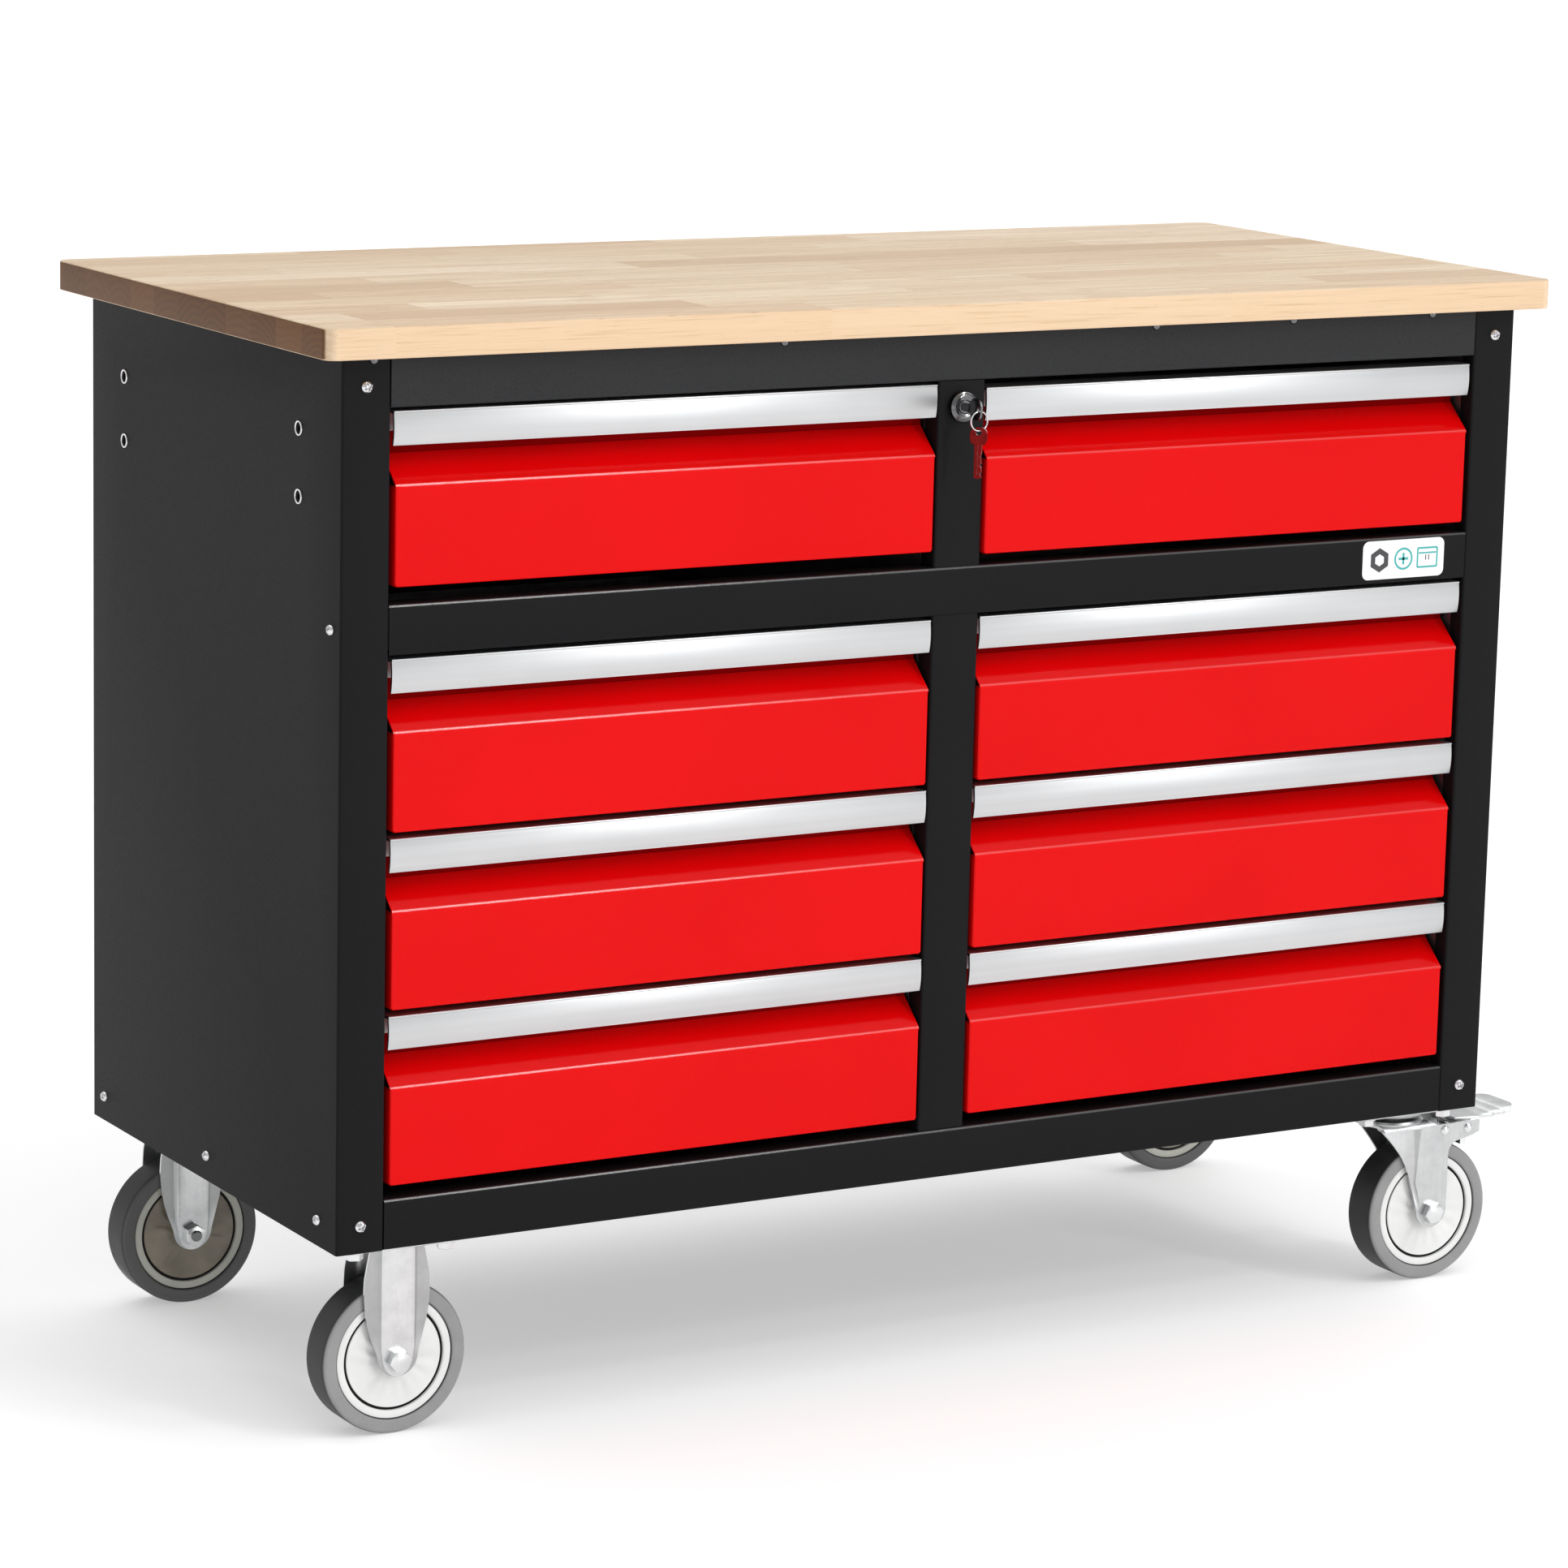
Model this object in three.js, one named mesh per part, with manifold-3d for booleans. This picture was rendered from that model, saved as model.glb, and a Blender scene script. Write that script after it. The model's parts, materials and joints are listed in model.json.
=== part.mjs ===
// Mobile workbench with drawers: a sheet-steel cabinet on casters under a laminated wooden worktop.
// Millimetres, +Z up. X runs along the bench, the front faces -Y. The origin ends up under the
// middle of the whole bench, on the floor.

import * as THREE from 'three';
import * as BufferGeometryUtils from 'three/addons/utils/BufferGeometryUtils.js';
import Module from 'manifold-3d';

const wasm = await Module();
wasm.setup();

// ---------------------------------------------------------------- driving dimensions

const CLEARANCE = 0.3; // between pieces that touch on the real bench
const SHEET = 1.2; // cabinet and drawer-front steel
const TRAY_SHEET = 1;
const FLOOR_PAN_SHEET = 1.5;
const REAR_GAP = 6; // from the inner walls to the back edge of the sides

const WORKTOP = { width: 1150, depth: 530, thickness: 24.5, cornerRadius: 12 };
const CABINET = { width: 1104, depth: 484, floorGap: 160, height: 704.2 };
const POST = { width: 41, returnDepth: 16, rearFlange: 20 };
const CENTRE_POST = { width: 44, depth: 20 };
const RAIL = { depth: 20, bottomTop: 201, midBottom: 632.5, midTop: 672.4, topBottom: 824 };

const DRAWER = {
  width: 481.5, // painted front
  foldHeight: 79, // the front is flat up to here
  slopeBack: 24.5, // then it slopes back under the handle
  slopeTop: 101,
  height: 136, // to the top of the handle
  returnDepth: 15,
  boxDepth: 430,
  boxFloor: 8,
  boxTop: 108,
};
const COLUMN_CENTRE = 265.5;
const LOWER_ROWS = { first: 211.5, pitch: 141, count: 3 };
const TOP_ROW = { bottom: 681, leftLift: 4.5 };

const HANDLE = { width: 484, height: 27, wall: 2.2, lipDrop: 4.5 };
const RUNNER = { height: 24, depth: 11, length: 440, setBack: 27, centreHeight: 62, sideGap: 13, play: 0.5 };

const CASTER = {
  x: 488,
  y: 200,
  plateWidth: 105,
  plateDepth: 80,
  plateThickness: 3,
  cornerRadius: 8,
  wheelRadius: 62.5,
  wheelWidth: 34,
  rimRadius: 50.1,
  legOuter: 22.2, // from the wheel's middle plane to the outside of the leg
  legThickness: 2.4,
  trail: 35,
  axleRadius: 5,
  nutAcrossFlats: 17,
};

const WHEEL_SEGMENTS = 24;

const LOCK = { z: 803, bezelRadius: 12.5, bezelDepth: 5, bodyRadius: 9, plugRadius: 5.5 };
const KEY = { bowRadius: 9, bowCentre: 20.5, holeOffset: 5.3, holeRadius: 2.2, thickness: 2 };
const KEY_RING = { radius: 7.8, wire: 0.8 };
const SPARE_KEY = { length: 42, width: 16, holeRadius: 3.6, thickness: 1.4, turn: -38 };

// ---------------------------------------------------------------- worked-out places

const cabinetTop = CABINET.floorGap + CABINET.height;
const halfWidth = CABINET.width / 2;
const front = -CABINET.depth / 2;
const back = CABINET.depth / 2;
const openingEdge = halfWidth - POST.width;
const centreEdge = CENTRE_POST.width / 2;
const postFront = front + SHEET + CLEARANCE;
const panelBottom = CABINET.floorGap + FLOOR_PAN_SHEET + CLEARANCE; // on top of the floor pan
const panelTop = cabinetTop - CLEARANCE;
const recessFront = front + DRAWER.slopeBack;
const boxFront = recessFront + SHEET + CLEARANCE;
const plateBottom = CABINET.floorGap - CLEARANCE - CASTER.plateThickness;
const axleHeight = CASTER.wheelRadius;

// ---------------------------------------------------------------- materials

function steel(color, roughness, metalness) {
  return new THREE.MeshStandardMaterial({ color, roughness, metalness });
}

const MATERIALS = {
  wood: steel(0xe3c49a, 0.45, 0),
  black: steel(0x1d1d20, 0.6, 0.1),
  red: steel(0xe0121a, 0.35, 0.1),
  aluminium: steel(0xdcdedf, 0.35, 0.9),
  zinc: steel(0xc3c6c9, 0.35, 0.9),
  galvanised: steel(0x9a9da0, 0.5, 0.8),
  tyre: steel(0x4c4c4e, 0.7, 0),
  hub: steel(0xc9cac8, 0.5, 0),
  chrome: steel(0xd9dadc, 0.12, 1),
};

// ---------------------------------------------------------------- geometry helpers

// A closed, welded solid for manifold-3d, from any three.js geometry.
function toSolid(geometry) {
  const bare = geometry.index ? geometry.toNonIndexed() : geometry.clone();
  bare.deleteAttribute('normal');
  bare.deleteAttribute('uv');
  const welded = BufferGeometryUtils.mergeVertices(bare, 1e-4);
  const vertProperties = new Float32Array(welded.attributes.position.array);
  const triVerts = new Uint32Array(welded.index.array);
  return new wasm.Manifold(new wasm.Mesh({ numProp: 3, vertProperties, triVerts }));
}

function toGeometry(solid) {
  const mesh = solid.getMesh();
  const geometry = new THREE.BufferGeometry();
  geometry.setAttribute('position', new THREE.BufferAttribute(new Float32Array(mesh.vertProperties), 3));
  geometry.setIndex(new THREE.BufferAttribute(new Uint32Array(mesh.triVerts), 1));
  geometry.computeVertexNormals();
  return geometry;
}

function join(...geometries) {
  return toGeometry(geometries.map(toSolid).reduce((sum, solid) => sum.add(solid)));
}

function cut(geometry, ...tools) {
  return toGeometry(tools.map(toSolid).reduce((rest, tool) => rest.subtract(tool), toSolid(geometry)));
}

function common(first, second) {
  return toGeometry(toSolid(first).intersect(toSolid(second)));
}

function box(x0, x1, y0, y1, z0, z1) {
  const geometry = new THREE.BoxGeometry(x1 - x0, y1 - y0, z1 - z0);
  return geometry.translate((x0 + x1) / 2, (y0 + y1) / 2, (z0 + z1) / 2);
}

// Extrudes a shape drawn in X and Y upwards from z0 to z1.
function prismZ(shape, z0, z1, curveSegments = 6) {
  const geometry = new THREE.ExtrudeGeometry(shape, { depth: z1 - z0, bevelEnabled: false, curveSegments });
  return geometry.translate(0, 0, z0);
}

// Extrudes a shape drawn in Y and Z along X from x0 to x1.
function prismX(shape, x0, x1, curveSegments = 6) {
  const geometry = new THREE.ExtrudeGeometry(shape, { depth: x1 - x0, bevelEnabled: false, curveSegments });
  const turn = new THREE.Matrix4().makeBasis(
    new THREE.Vector3(0, 1, 0),
    new THREE.Vector3(0, 0, 1),
    new THREE.Vector3(1, 0, 0),
  );
  return geometry.applyMatrix4(turn).translate(x0, 0, 0);
}

// Extrudes a shape drawn in X and Z along Y from y0 to y1.
function prismY(shape, y0, y1, curveSegments = 6) {
  const geometry = new THREE.ExtrudeGeometry(shape, { depth: y1 - y0, bevelEnabled: false, curveSegments });
  return geometry.rotateX(Math.PI / 2).translate(0, y1, 0);
}

function rodY(radius, x, y0, y1, z, segments = 12) {
  const geometry = new THREE.CylinderGeometry(radius, radius, y1 - y0, segments);
  return geometry.translate(x, (y0 + y1) / 2, z);
}

// A body of revolution about Y from a closed outline of [radius, y] points.
function turnedY(points, segments) {
  const outline = points.map(([radius, y]) => new THREE.Vector2(radius, y));
  outline.push(outline[0].clone());
  return new THREE.LatheGeometry(outline, segments);
}

// A wheel piece from the half outline that faces +Y, listed from the axle outwards. Its flats lie on
// the true circles and one of them is underneath, so the wheel stands on a flat at its true height.
function wheelRound(half) {
  const step = Math.PI / WHEEL_SEGMENTS;
  const stretch = 1 / Math.cos(step);
  const outline = [...half.map(([radius, y]) => [radius, -y]), ...half.slice().reverse()];
  const stretched = outline.map(([radius, y]) => [radius * stretch, y]);
  return turnedY(stretched, WHEEL_SEGMENTS).rotateY(step);
}

function turnedZ(points, segments) {
  return turnedY(points, segments).rotateX(Math.PI / 2);
}

function roundedRectangle(width, depth, radius) {
  const x = width / 2;
  const y = depth / 2;
  const shape = new THREE.Shape();
  shape.moveTo(-x + radius, -y);
  shape.lineTo(x - radius, -y);
  shape.absarc(x - radius, -y + radius, radius, -Math.PI / 2, 0, false);
  shape.lineTo(x, y - radius);
  shape.absarc(x - radius, y - radius, radius, 0, Math.PI / 2, false);
  shape.lineTo(-x + radius, y);
  shape.absarc(-x + radius, y - radius, radius, Math.PI / 2, Math.PI, false);
  shape.lineTo(-x, -y + radius);
  shape.absarc(-x + radius, -y + radius, radius, Math.PI, 1.5 * Math.PI, false);
  return shape;
}

// The section of a bent sheet: the given outside face, and its copy one thickness to the left.
function bentSheet(path, thickness) {
  const outer = path.map(([x, y]) => new THREE.Vector2(x, y));
  const normals = outer.slice(1).map((end, i) => {
    const along = end.clone().sub(outer[i]).normalize();
    return new THREE.Vector2(-along.y, along.x);
  });
  const inner = outer.map((point, i) => {
    const before = normals[Math.max(i - 1, 0)];
    const after = normals[Math.min(i, normals.length - 1)];
    const mitre = before.clone().add(after).divideScalar(1 + before.dot(after));
    return point.clone().addScaledVector(mitre, thickness);
  });
  return new THREE.Shape([...outer, ...inner.reverse()]);
}

// ---------------------------------------------------------------- the bench and its nodes

const bench = new THREE.Group();

function add(name, geometry, material) {
  const mesh = new THREE.Mesh(geometry, material.clone());
  mesh.name = name;
  bench.add(mesh);
  return mesh;
}

function mirrorX(geometry) {
  return toGeometry(toSolid(geometry).mirror([1, 0, 0]));
}

// ---------------------------------------------------------------- worktop and cabinet

function worktop() {
  const shape = roundedRectangle(WORKTOP.width, WORKTOP.depth, WORKTOP.cornerRadius);
  const underside = cabinetTop + CLEARANCE;
  return prismZ(shape, underside, underside + WORKTOP.thickness);
}

// One folded sheet: side wall, front post with its return, and rear flange.
function leftSidePanel() {
  const section = bentSheet(
    [
      [-halfWidth + POST.rearFlange, back],
      [-halfWidth, back],
      [-halfWidth, front],
      [-openingEdge, front],
      [-openingEdge, front + POST.returnDepth],
    ],
    SHEET,
  );
  return prismZ(section, CABINET.floorGap, cabinetTop);
}

// A runner is a channel that opens towards the drawer. Drawn for the left edge of a column.
function runners(edge) {
  const y0 = front + RUNNER.setBack;
  return drawerBottoms().map((bottom) => {
    const z = bottom + RUNNER.centreHeight;
    const half = RUNNER.height / 2;
    const section = bentSheet(
      [
        [edge + RUNNER.depth, z + half],
        [edge - 0.1, z + half],
        [edge - 0.1, z - half],
        [edge + RUNNER.depth, z - half],
      ],
      SHEET,
    );
    return prismY(section, y0, y0 + RUNNER.length);
  });
}

// Inner wall of the left side, with the four runners of its column.
function leftInnerPanel() {
  const y0 = front + POST.returnDepth + CLEARANCE;
  const y1 = back - REAR_GAP;
  const outside = -halfWidth + SHEET + CLEARANCE;
  const section = bentSheet(
    [
      [outside, y1],
      [-openingEdge, y1],
      [-openingEdge, y0],
      [outside, y0],
    ],
    -SHEET,
  );
  return join(prismZ(section, panelBottom, panelTop), ...runners(-openingEdge));
}

// Hollow partition behind the centre post, with runners on both sides.
function centrePartition() {
  const y0 = front + CENTRE_POST.depth + 2;
  const y1 = back - REAR_GAP;
  const section = bentSheet(
    [
      [-centreEdge, y0],
      [-centreEdge, y1],
      [centreEdge, y1],
      [centreEdge, y0],
    ],
    -SHEET,
  );
  const rightRunners = runners(centreEdge);
  const leftRunners = rightRunners.map(mirrorX);
  return join(prismZ(section, panelBottom, panelTop), ...rightRunners, ...leftRunners);
}

function backPanel() {
  const x = halfWidth - SHEET - CLEARANCE;
  const y1 = back - SHEET - CLEARANCE;
  return box(-x, x, y1 - SHEET, y1, panelBottom, panelTop);
}

function bottomPanel() {
  const x = halfWidth - SHEET - CLEARANCE;
  const y0 = front + RAIL.depth + CLEARANCE;
  const y1 = back - 2 * (SHEET + CLEARANCE);
  return box(-x, x, y0, y1, CABINET.floorGap, panelBottom - CLEARANCE);
}

// Front rails are channels open to the back.
function rail(z0, z1) {
  const rear = front + RAIL.depth;
  const x = openingEdge - CLEARANCE;
  const section = bentSheet(
    [
      [rear, z1],
      [front, z1],
      [front, z0],
      [rear, z0],
    ],
    SHEET,
  );
  return prismX(section, -x, x);
}

// The middle rail crosses in front of the centre post, so its flanges are notched round it.
function midRail() {
  const notch = centreEdge + CLEARANCE;
  const seat = postFront - CLEARANCE;
  const rear = front + RAIL.depth + 1;
  const postRoom = box(-notch, notch, seat, rear, RAIL.midBottom - 1, RAIL.midTop + 1);
  return cut(rail(RAIL.midBottom, RAIL.midTop), postRoom);
}

function centrePost() {
  const rear = postFront + CENTRE_POST.depth;
  const section = bentSheet(
    [
      [-centreEdge, rear],
      [-centreEdge, postFront],
      [centreEdge, postFront],
      [centreEdge, rear],
    ],
    SHEET,
  );
  const post = prismZ(section, RAIL.bottomTop + CLEARANCE, RAIL.topBottom - CLEARANCE);
  return cut(post, rodY(LOCK.bodyRadius + CLEARANCE, 0, postFront - 1, postFront + 3, LOCK.z, 24));
}

// ---------------------------------------------------------------- drawers

// Heights of the bottom edges of one column's drawer boxes.
function drawerBottoms() {
  const { first, pitch, count } = LOWER_ROWS;
  const lower = Array.from({ length: count }, (_, row) => first + row * pitch);
  return [...lower, TOP_ROW.bottom];
}

// Painted front: flat face, slope, and the recess wall behind the handle, with returns all round.
function drawerFront() {
  const recess = recessFront;
  const wallTop = DRAWER.height - HANDLE.wall - 2 * CLEARANCE;
  const section = bentSheet(
    [
      [recess, wallTop],
      [recess, DRAWER.slopeTop],
      [front, DRAWER.foldHeight],
      [front, 0],
      [front + DRAWER.slopeBack, 0],
    ],
    SHEET,
  );
  const half = DRAWER.width / 2;
  const y0 = front + SHEET / 2;
  const y1 = front + DRAWER.returnDepth;
  const z0 = SHEET / 2;
  const z1 = DRAWER.foldHeight - SHEET / 2;
  const leftReturn = box(-half, -half + SHEET, y0, y1, z0, z1);
  const rightReturn = box(half - SHEET, half, y0, y1, z0, z1);
  return join(prismX(section, -half, half), leftReturn, rightReturn);
}

// Extruded grip: a web on top, a bowed lip in front to pull on, and a fixing flange behind.
function drawerHandle() {
  const top = DRAWER.height;
  const bottom = top - HANDLE.height;
  const wall = HANDLE.wall;
  const under = top - wall;
  const flangeBack = recessFront - CLEARANCE;
  const rear = recessFront + SHEET;
  const shape = new THREE.Shape();
  shape.moveTo(rear, top);
  shape.lineTo(front + 1.4, top);
  shape.lineTo(front + 1.2, top - 1.4);
  shape.lineTo(front, top - 1.8);
  shape.quadraticCurveTo(front - 0.2, top - 16, front + HANDLE.lipDrop, bottom);
  shape.lineTo(front + HANDLE.lipDrop + wall, bottom + 0.4);
  shape.quadraticCurveTo(front + wall, top - 15, front + wall + 0.4, under);
  shape.lineTo(flangeBack - wall, under);
  shape.lineTo(flangeBack - wall, top - 18);
  shape.lineTo(flangeBack, top - 18);
  shape.lineTo(flangeBack, under);
  shape.lineTo(rear, under);
  shape.closePath();
  return prismX(shape, -HANDLE.width / 2, HANDLE.width / 2, 8);
}

// Open tray with a formed rib along each side that slides in the runner.
function drawerBox() {
  const half = (openingEdge - centreEdge) / 2 - RUNNER.sideGap;
  const y1 = boxFront + DRAWER.boxDepth;
  const t = TRAY_SHEET;
  const shell = box(-half, half, boxFront, y1, DRAWER.boxFloor, DRAWER.boxTop);
  const room = box(-half + t, half - t, boxFront + t, y1 - t, DRAWER.boxFloor + t, DRAWER.boxTop + 1);
  const ribHalf = RUNNER.height / 2 - SHEET - RUNNER.play;
  const ribOut = half + RUNNER.sideGap - SHEET - 1.3;
  const section = bentSheet(
    [
      [half - 0.2, RUNNER.centreHeight - ribHalf],
      [ribOut, RUNNER.centreHeight - ribHalf],
      [ribOut, RUNNER.centreHeight + ribHalf],
      [half - 0.2, RUNNER.centreHeight + ribHalf],
    ],
    SHEET,
  );
  const rib = prismY(section, boxFront + 4, y1);
  return join(cut(shell, room), rib, mirrorX(rib));
}

function addDrawers() {
  const frontShape = drawerFront();
  const handleShape = drawerHandle();
  const boxShape = drawerBox();
  const boxCentre = (openingEdge + centreEdge) / 2;
  for (const [side, sign] of [['left', -1], ['right', 1]]) {
    drawerBottoms().forEach((bottom, row) => {
      const isTop = row === LOWER_ROWS.count;
      const lift = isTop && side === 'left' ? TOP_ROW.leftLift : 0;
      const label = `${side}_${row + 1}`;
      add(`drawer_box_${label}`, boxShape, MATERIALS.galvanised).position.set(sign * boxCentre, 0, bottom);
      const face = [sign * COLUMN_CENTRE, 0, bottom + lift];
      add(`drawer_front_${label}`, frontShape, MATERIALS.red).position.set(...face);
      add(`drawer_handle_${label}`, handleShape, MATERIALS.aluminium).position.set(...face);
    });
  }
}

// ---------------------------------------------------------------- casters

function mountingPlate() {
  const outline = roundedRectangle(CASTER.plateWidth, CASTER.plateDepth, CASTER.cornerRadius);
  return prismZ(outline, plateBottom, plateBottom + CASTER.plateThickness, 4);
}

function axleHole(x) {
  const reach = CASTER.legOuter + 1;
  return rodY(CASTER.axleRadius + CLEARANCE, x, -reach, reach, axleHeight);
}

// Both legs of a caster from one outline in X and Z.
function legPair(shape, inner, outer, curveSegments) {
  return [prismY(shape, -outer, -inner, curveSegments), prismY(shape, inner, outer, curveSegments)];
}

// Bulged leg of the fixed caster, round at the axle.
function fixedLeg() {
  const top = plateBottom + 0.2;
  const shape = new THREE.Shape();
  shape.moveTo(-22, top);
  shape.bezierCurveTo(-27, top - 14, -30, 128, -28.5, 112);
  shape.bezierCurveTo(-27, 94, -21, 78, -17.5, axleHeight);
  shape.bezierCurveTo(-14.5, 50, -6, 48.5, 0, 48.5);
  shape.bezierCurveTo(6, 48.5, 14.5, 50, 17.5, axleHeight);
  shape.bezierCurveTo(21, 78, 27, 94, 28.5, 112);
  shape.bezierCurveTo(30, 128, 27, top - 14, 22, top);
  shape.closePath();
  return shape;
}

// Raised stiffening rib pressed along the middle of the fixed leg.
function fixedRib() {
  const top = plateBottom + 0.2;
  const half = 15.5;
  const shape = new THREE.Shape();
  shape.moveTo(half, top);
  shape.lineTo(-half, top);
  shape.lineTo(-half, axleHeight + 2);
  shape.absarc(0, axleHeight + 2, half, Math.PI, 2 * Math.PI, false);
  shape.closePath();
  return shape;
}

function fixedBracket() {
  const outer = CASTER.legOuter;
  const skin = outer - 2;
  const inner = skin - CASTER.legThickness;
  const legs = legPair(fixedLeg(), inner, skin, 4);
  const ribs = legPair(fixedRib(), skin - 0.1, outer, 4);
  const crown = box(-20, 20, -skin, skin, plateBottom - 3, plateBottom + 0.2);
  return cut(join(mountingPlate(), crown, ...legs, ...ribs), axleHole(0));
}

// Mounting plate with its raceway and kingpin, as one turned piece under the plate.
function swivelPlate() {
  const raceway = turnedZ(
    [
      [0, 135],
      [9, 135],
      [9, 138.9],
      [6.2, 138.9],
      [6.2, 149.7],
      [27, 149.7],
      [31, 153],
      [31, plateBottom + 0.2],
      [0, plateBottom + 0.2],
    ],
    20,
  );
  return join(mountingPlate(), raceway);
}

// Leg of the swivel fork, drawn from the swivel axis. It sweeps down to the trailing axle, and an
// arm reaches outwards to carry the brake pedal.
function forkLeg() {
  const trail = CASTER.trail;
  const shape = new THREE.Shape();
  shape.moveTo(-26, 146);
  shape.bezierCurveTo(-18, 141, -8, 130, 1.5, 115);
  shape.bezierCurveTo(9, 102, 14, 88, trail - 16.5, axleHeight);
  shape.bezierCurveTo(trail - 14, 51, trail - 6, 48.5, trail, 48.5);
  shape.bezierCurveTo(trail + 8, 48.5, trail + 16, 54, trail + 16, axleHeight);
  shape.lineTo(trail + 16, 115);
  shape.bezierCurveTo(trail + 16, 122, trail + 20, 125, trail + 28, 126);
  shape.lineTo(84, 128.5);
  shape.lineTo(84, 140);
  shape.lineTo(60, 142);
  shape.lineTo(26, 146);
  shape.closePath();
  return shape;
}

const PEDAL_PIVOT = { x: 71.5, z: 135, radius: 3 };
const SPACER_PIN = { x: 46.2, z: 135.5 };

function swivelFork() {
  const outer = CASTER.legOuter;
  const inner = outer - CASTER.legThickness;
  const legs = legPair(forkLeg(), inner, outer, 4);
  const crown = turnedZ(
    [
      [6.5, 139.5],
      [23, 139.5],
      [29, 142],
      [29, 147],
      [25, 149.4],
      [6.5, 149.4],
    ],
    20,
  );
  const bridge = box(8, 26, -outer + 0.5, outer - 0.5, 141, 145.5);
  const pins = [PEDAL_PIVOT, SPACER_PIN].flatMap(({ x, z }) => [
    rodY(PEDAL_PIVOT.radius, x, -outer - 1, outer + 1, z, 10),
    rodY(4.8, x, -outer - 2.2, -outer + 0.2, z, 10),
    rodY(4.8, x, outer - 0.2, outer + 2.2, z, 10),
  ]);
  return cut(join(...legs, crown, bridge, ...pins), axleHole(CASTER.trail));
}

// Brake pedal: a tread plate that rises outwards, two ears on the pivot, and a shoe over the tyre.
function brakePedal() {
  const { x, z, radius } = PEDAL_PIVOT;
  const sheet = 2.2;
  const treadWidth = 28;
  const profile = bentSheet(
    [
      [62, 141.4],
      [88, 141.4],
      [116, 148.5],
      [128, 146.5],
    ],
    sheet,
  );
  const plan = new THREE.Shape();
  plan.moveTo(61, -15);
  plan.lineTo(86, -19.2);
  plan.lineTo(92, -23);
  plan.lineTo(114, -treadWidth);
  plan.quadraticCurveTo(142, 0, 114, treadWidth);
  plan.lineTo(92, 23);
  plan.lineTo(86, 19.2);
  plan.lineTo(61, 15);
  plan.closePath();
  const tread = common(prismY(profile, -treadWidth - 1, treadWidth + 1), prismZ(plan, 135, 155, 6));
  const ear = new THREE.Shape();
  ear.moveTo(x - 7, 142);
  ear.lineTo(x - 6.5, z - 2);
  ear.absarc(x, z, 6.8, Math.PI * 1.1, Math.PI * 1.9, false);
  ear.lineTo(x + 9, 142);
  ear.closePath();
  const ears = legPair(ear, 12.8, 15, 5);
  const shoe = box(x - 1, x + 5, -13, 13, z - 17, z - 4.5);
  const spine = box(x + 4, x + 8, -13, 13, z - 6, 142);
  const solid = join(tread, ...ears, shoe, spine);
  return cut(solid, rodY(radius + CLEARANCE, x, -20, 20, z, 12));
}

function tyre() {
  const half = CASTER.wheelWidth / 2;
  const bead = CASTER.rimRadius + CLEARANCE;
  const tread = CASTER.wheelRadius;
  const flank = [
    [bead, half - 2.5],
    [bead + 1.6, half],
    [tread - 5, half],
    [tread, half - 6],
  ];
  return wheelRound(flank);
}

// Moulded centre: boss, domed cover with a groove round it, and the rim that carries the tyre.
function hub() {
  const half = CASTER.wheelWidth / 2;
  const rim = CASTER.rimRadius;
  const bore = CASTER.axleRadius + CLEARANCE;
  const face = [
    [bore, half + 0.4],
    [12, half + 0.4],
    [13.5, half - 1.6],
    [41.6, half - 3],
    [43.4, half - 1.6],
    [rim, half - 1.6],
  ];
  return wheelRound(face);
}

// Hexagonal head or nut on the axle, its flats square to Z.
function hexagon(y0, y1) {
  const geometry = new THREE.CylinderGeometry(
    CASTER.nutAcrossFlats / Math.sqrt(3),
    CASTER.nutAcrossFlats / Math.sqrt(3),
    y1 - y0,
    6,
  );
  return geometry.translate(0, (y0 + y1) / 2, 0);
}

// Wheel bolt with its nut. headSide is -1 where the head is at the front.
function axle(headSide) {
  const seat = CASTER.legOuter + CLEARANCE;
  const shank = rodY(CASTER.axleRadius, 0, -seat - 2, seat + 10, 0);
  const bolt = join(shank, hexagon(-seat - 6.5, -seat), hexagon(seat, seat + 8));
  return headSide < 0 ? bolt : bolt.rotateZ(Math.PI);
}

function addCasters() {
  const bracketShape = fixedBracket();
  const plateShape = swivelPlate();
  const forkShape = swivelFork();
  const pedalShape = brakePedal();
  const tyreShape = tyre();
  const hubShape = hub();
  for (const [end, sign] of [['front', -1], ['rear', 1]]) {
    const y = sign * CASTER.y;
    const axleShape = axle(sign);
    const fixedX = -CASTER.x;
    const wheelX = CASTER.x + CASTER.trail;
    add(`fixed_caster_bracket_${end}`, bracketShape, MATERIALS.zinc).position.set(fixedX, y, 0);
    add(`fixed_caster_axle_${end}`, axleShape, MATERIALS.zinc).position.set(fixedX, y, axleHeight);
    add(`fixed_caster_tyre_${end}`, tyreShape, MATERIALS.tyre).position.set(fixedX, y, axleHeight);
    add(`fixed_caster_hub_${end}`, hubShape, MATERIALS.hub).position.set(fixedX, y, axleHeight);
    add(`swivel_caster_plate_${end}`, plateShape, MATERIALS.zinc).position.set(CASTER.x, y, 0);
    add(`swivel_caster_fork_${end}`, forkShape, MATERIALS.zinc).position.set(CASTER.x, y, 0);
    add(`swivel_caster_axle_${end}`, axleShape, MATERIALS.zinc).position.set(wheelX, y, axleHeight);
    add(`swivel_caster_tyre_${end}`, tyreShape, MATERIALS.tyre).position.set(wheelX, y, axleHeight);
    add(`swivel_caster_hub_${end}`, hubShape, MATERIALS.hub).position.set(wheelX, y, axleHeight);
    add(`brake_pedal_${end}`, pedalShape, MATERIALS.zinc).position.set(CASTER.x, y, 0);
  }
}

// ---------------------------------------------------------------- lock and keys

const lockFace = front - LOCK.bezelDepth;
const ringY = front - KEY.bowCentre - KEY.holeOffset;
const ringTop = LOCK.z - KEY.holeRadius + KEY_RING.wire + CLEARANCE;
const ringCentre = ringTop - KEY_RING.radius;

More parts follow.
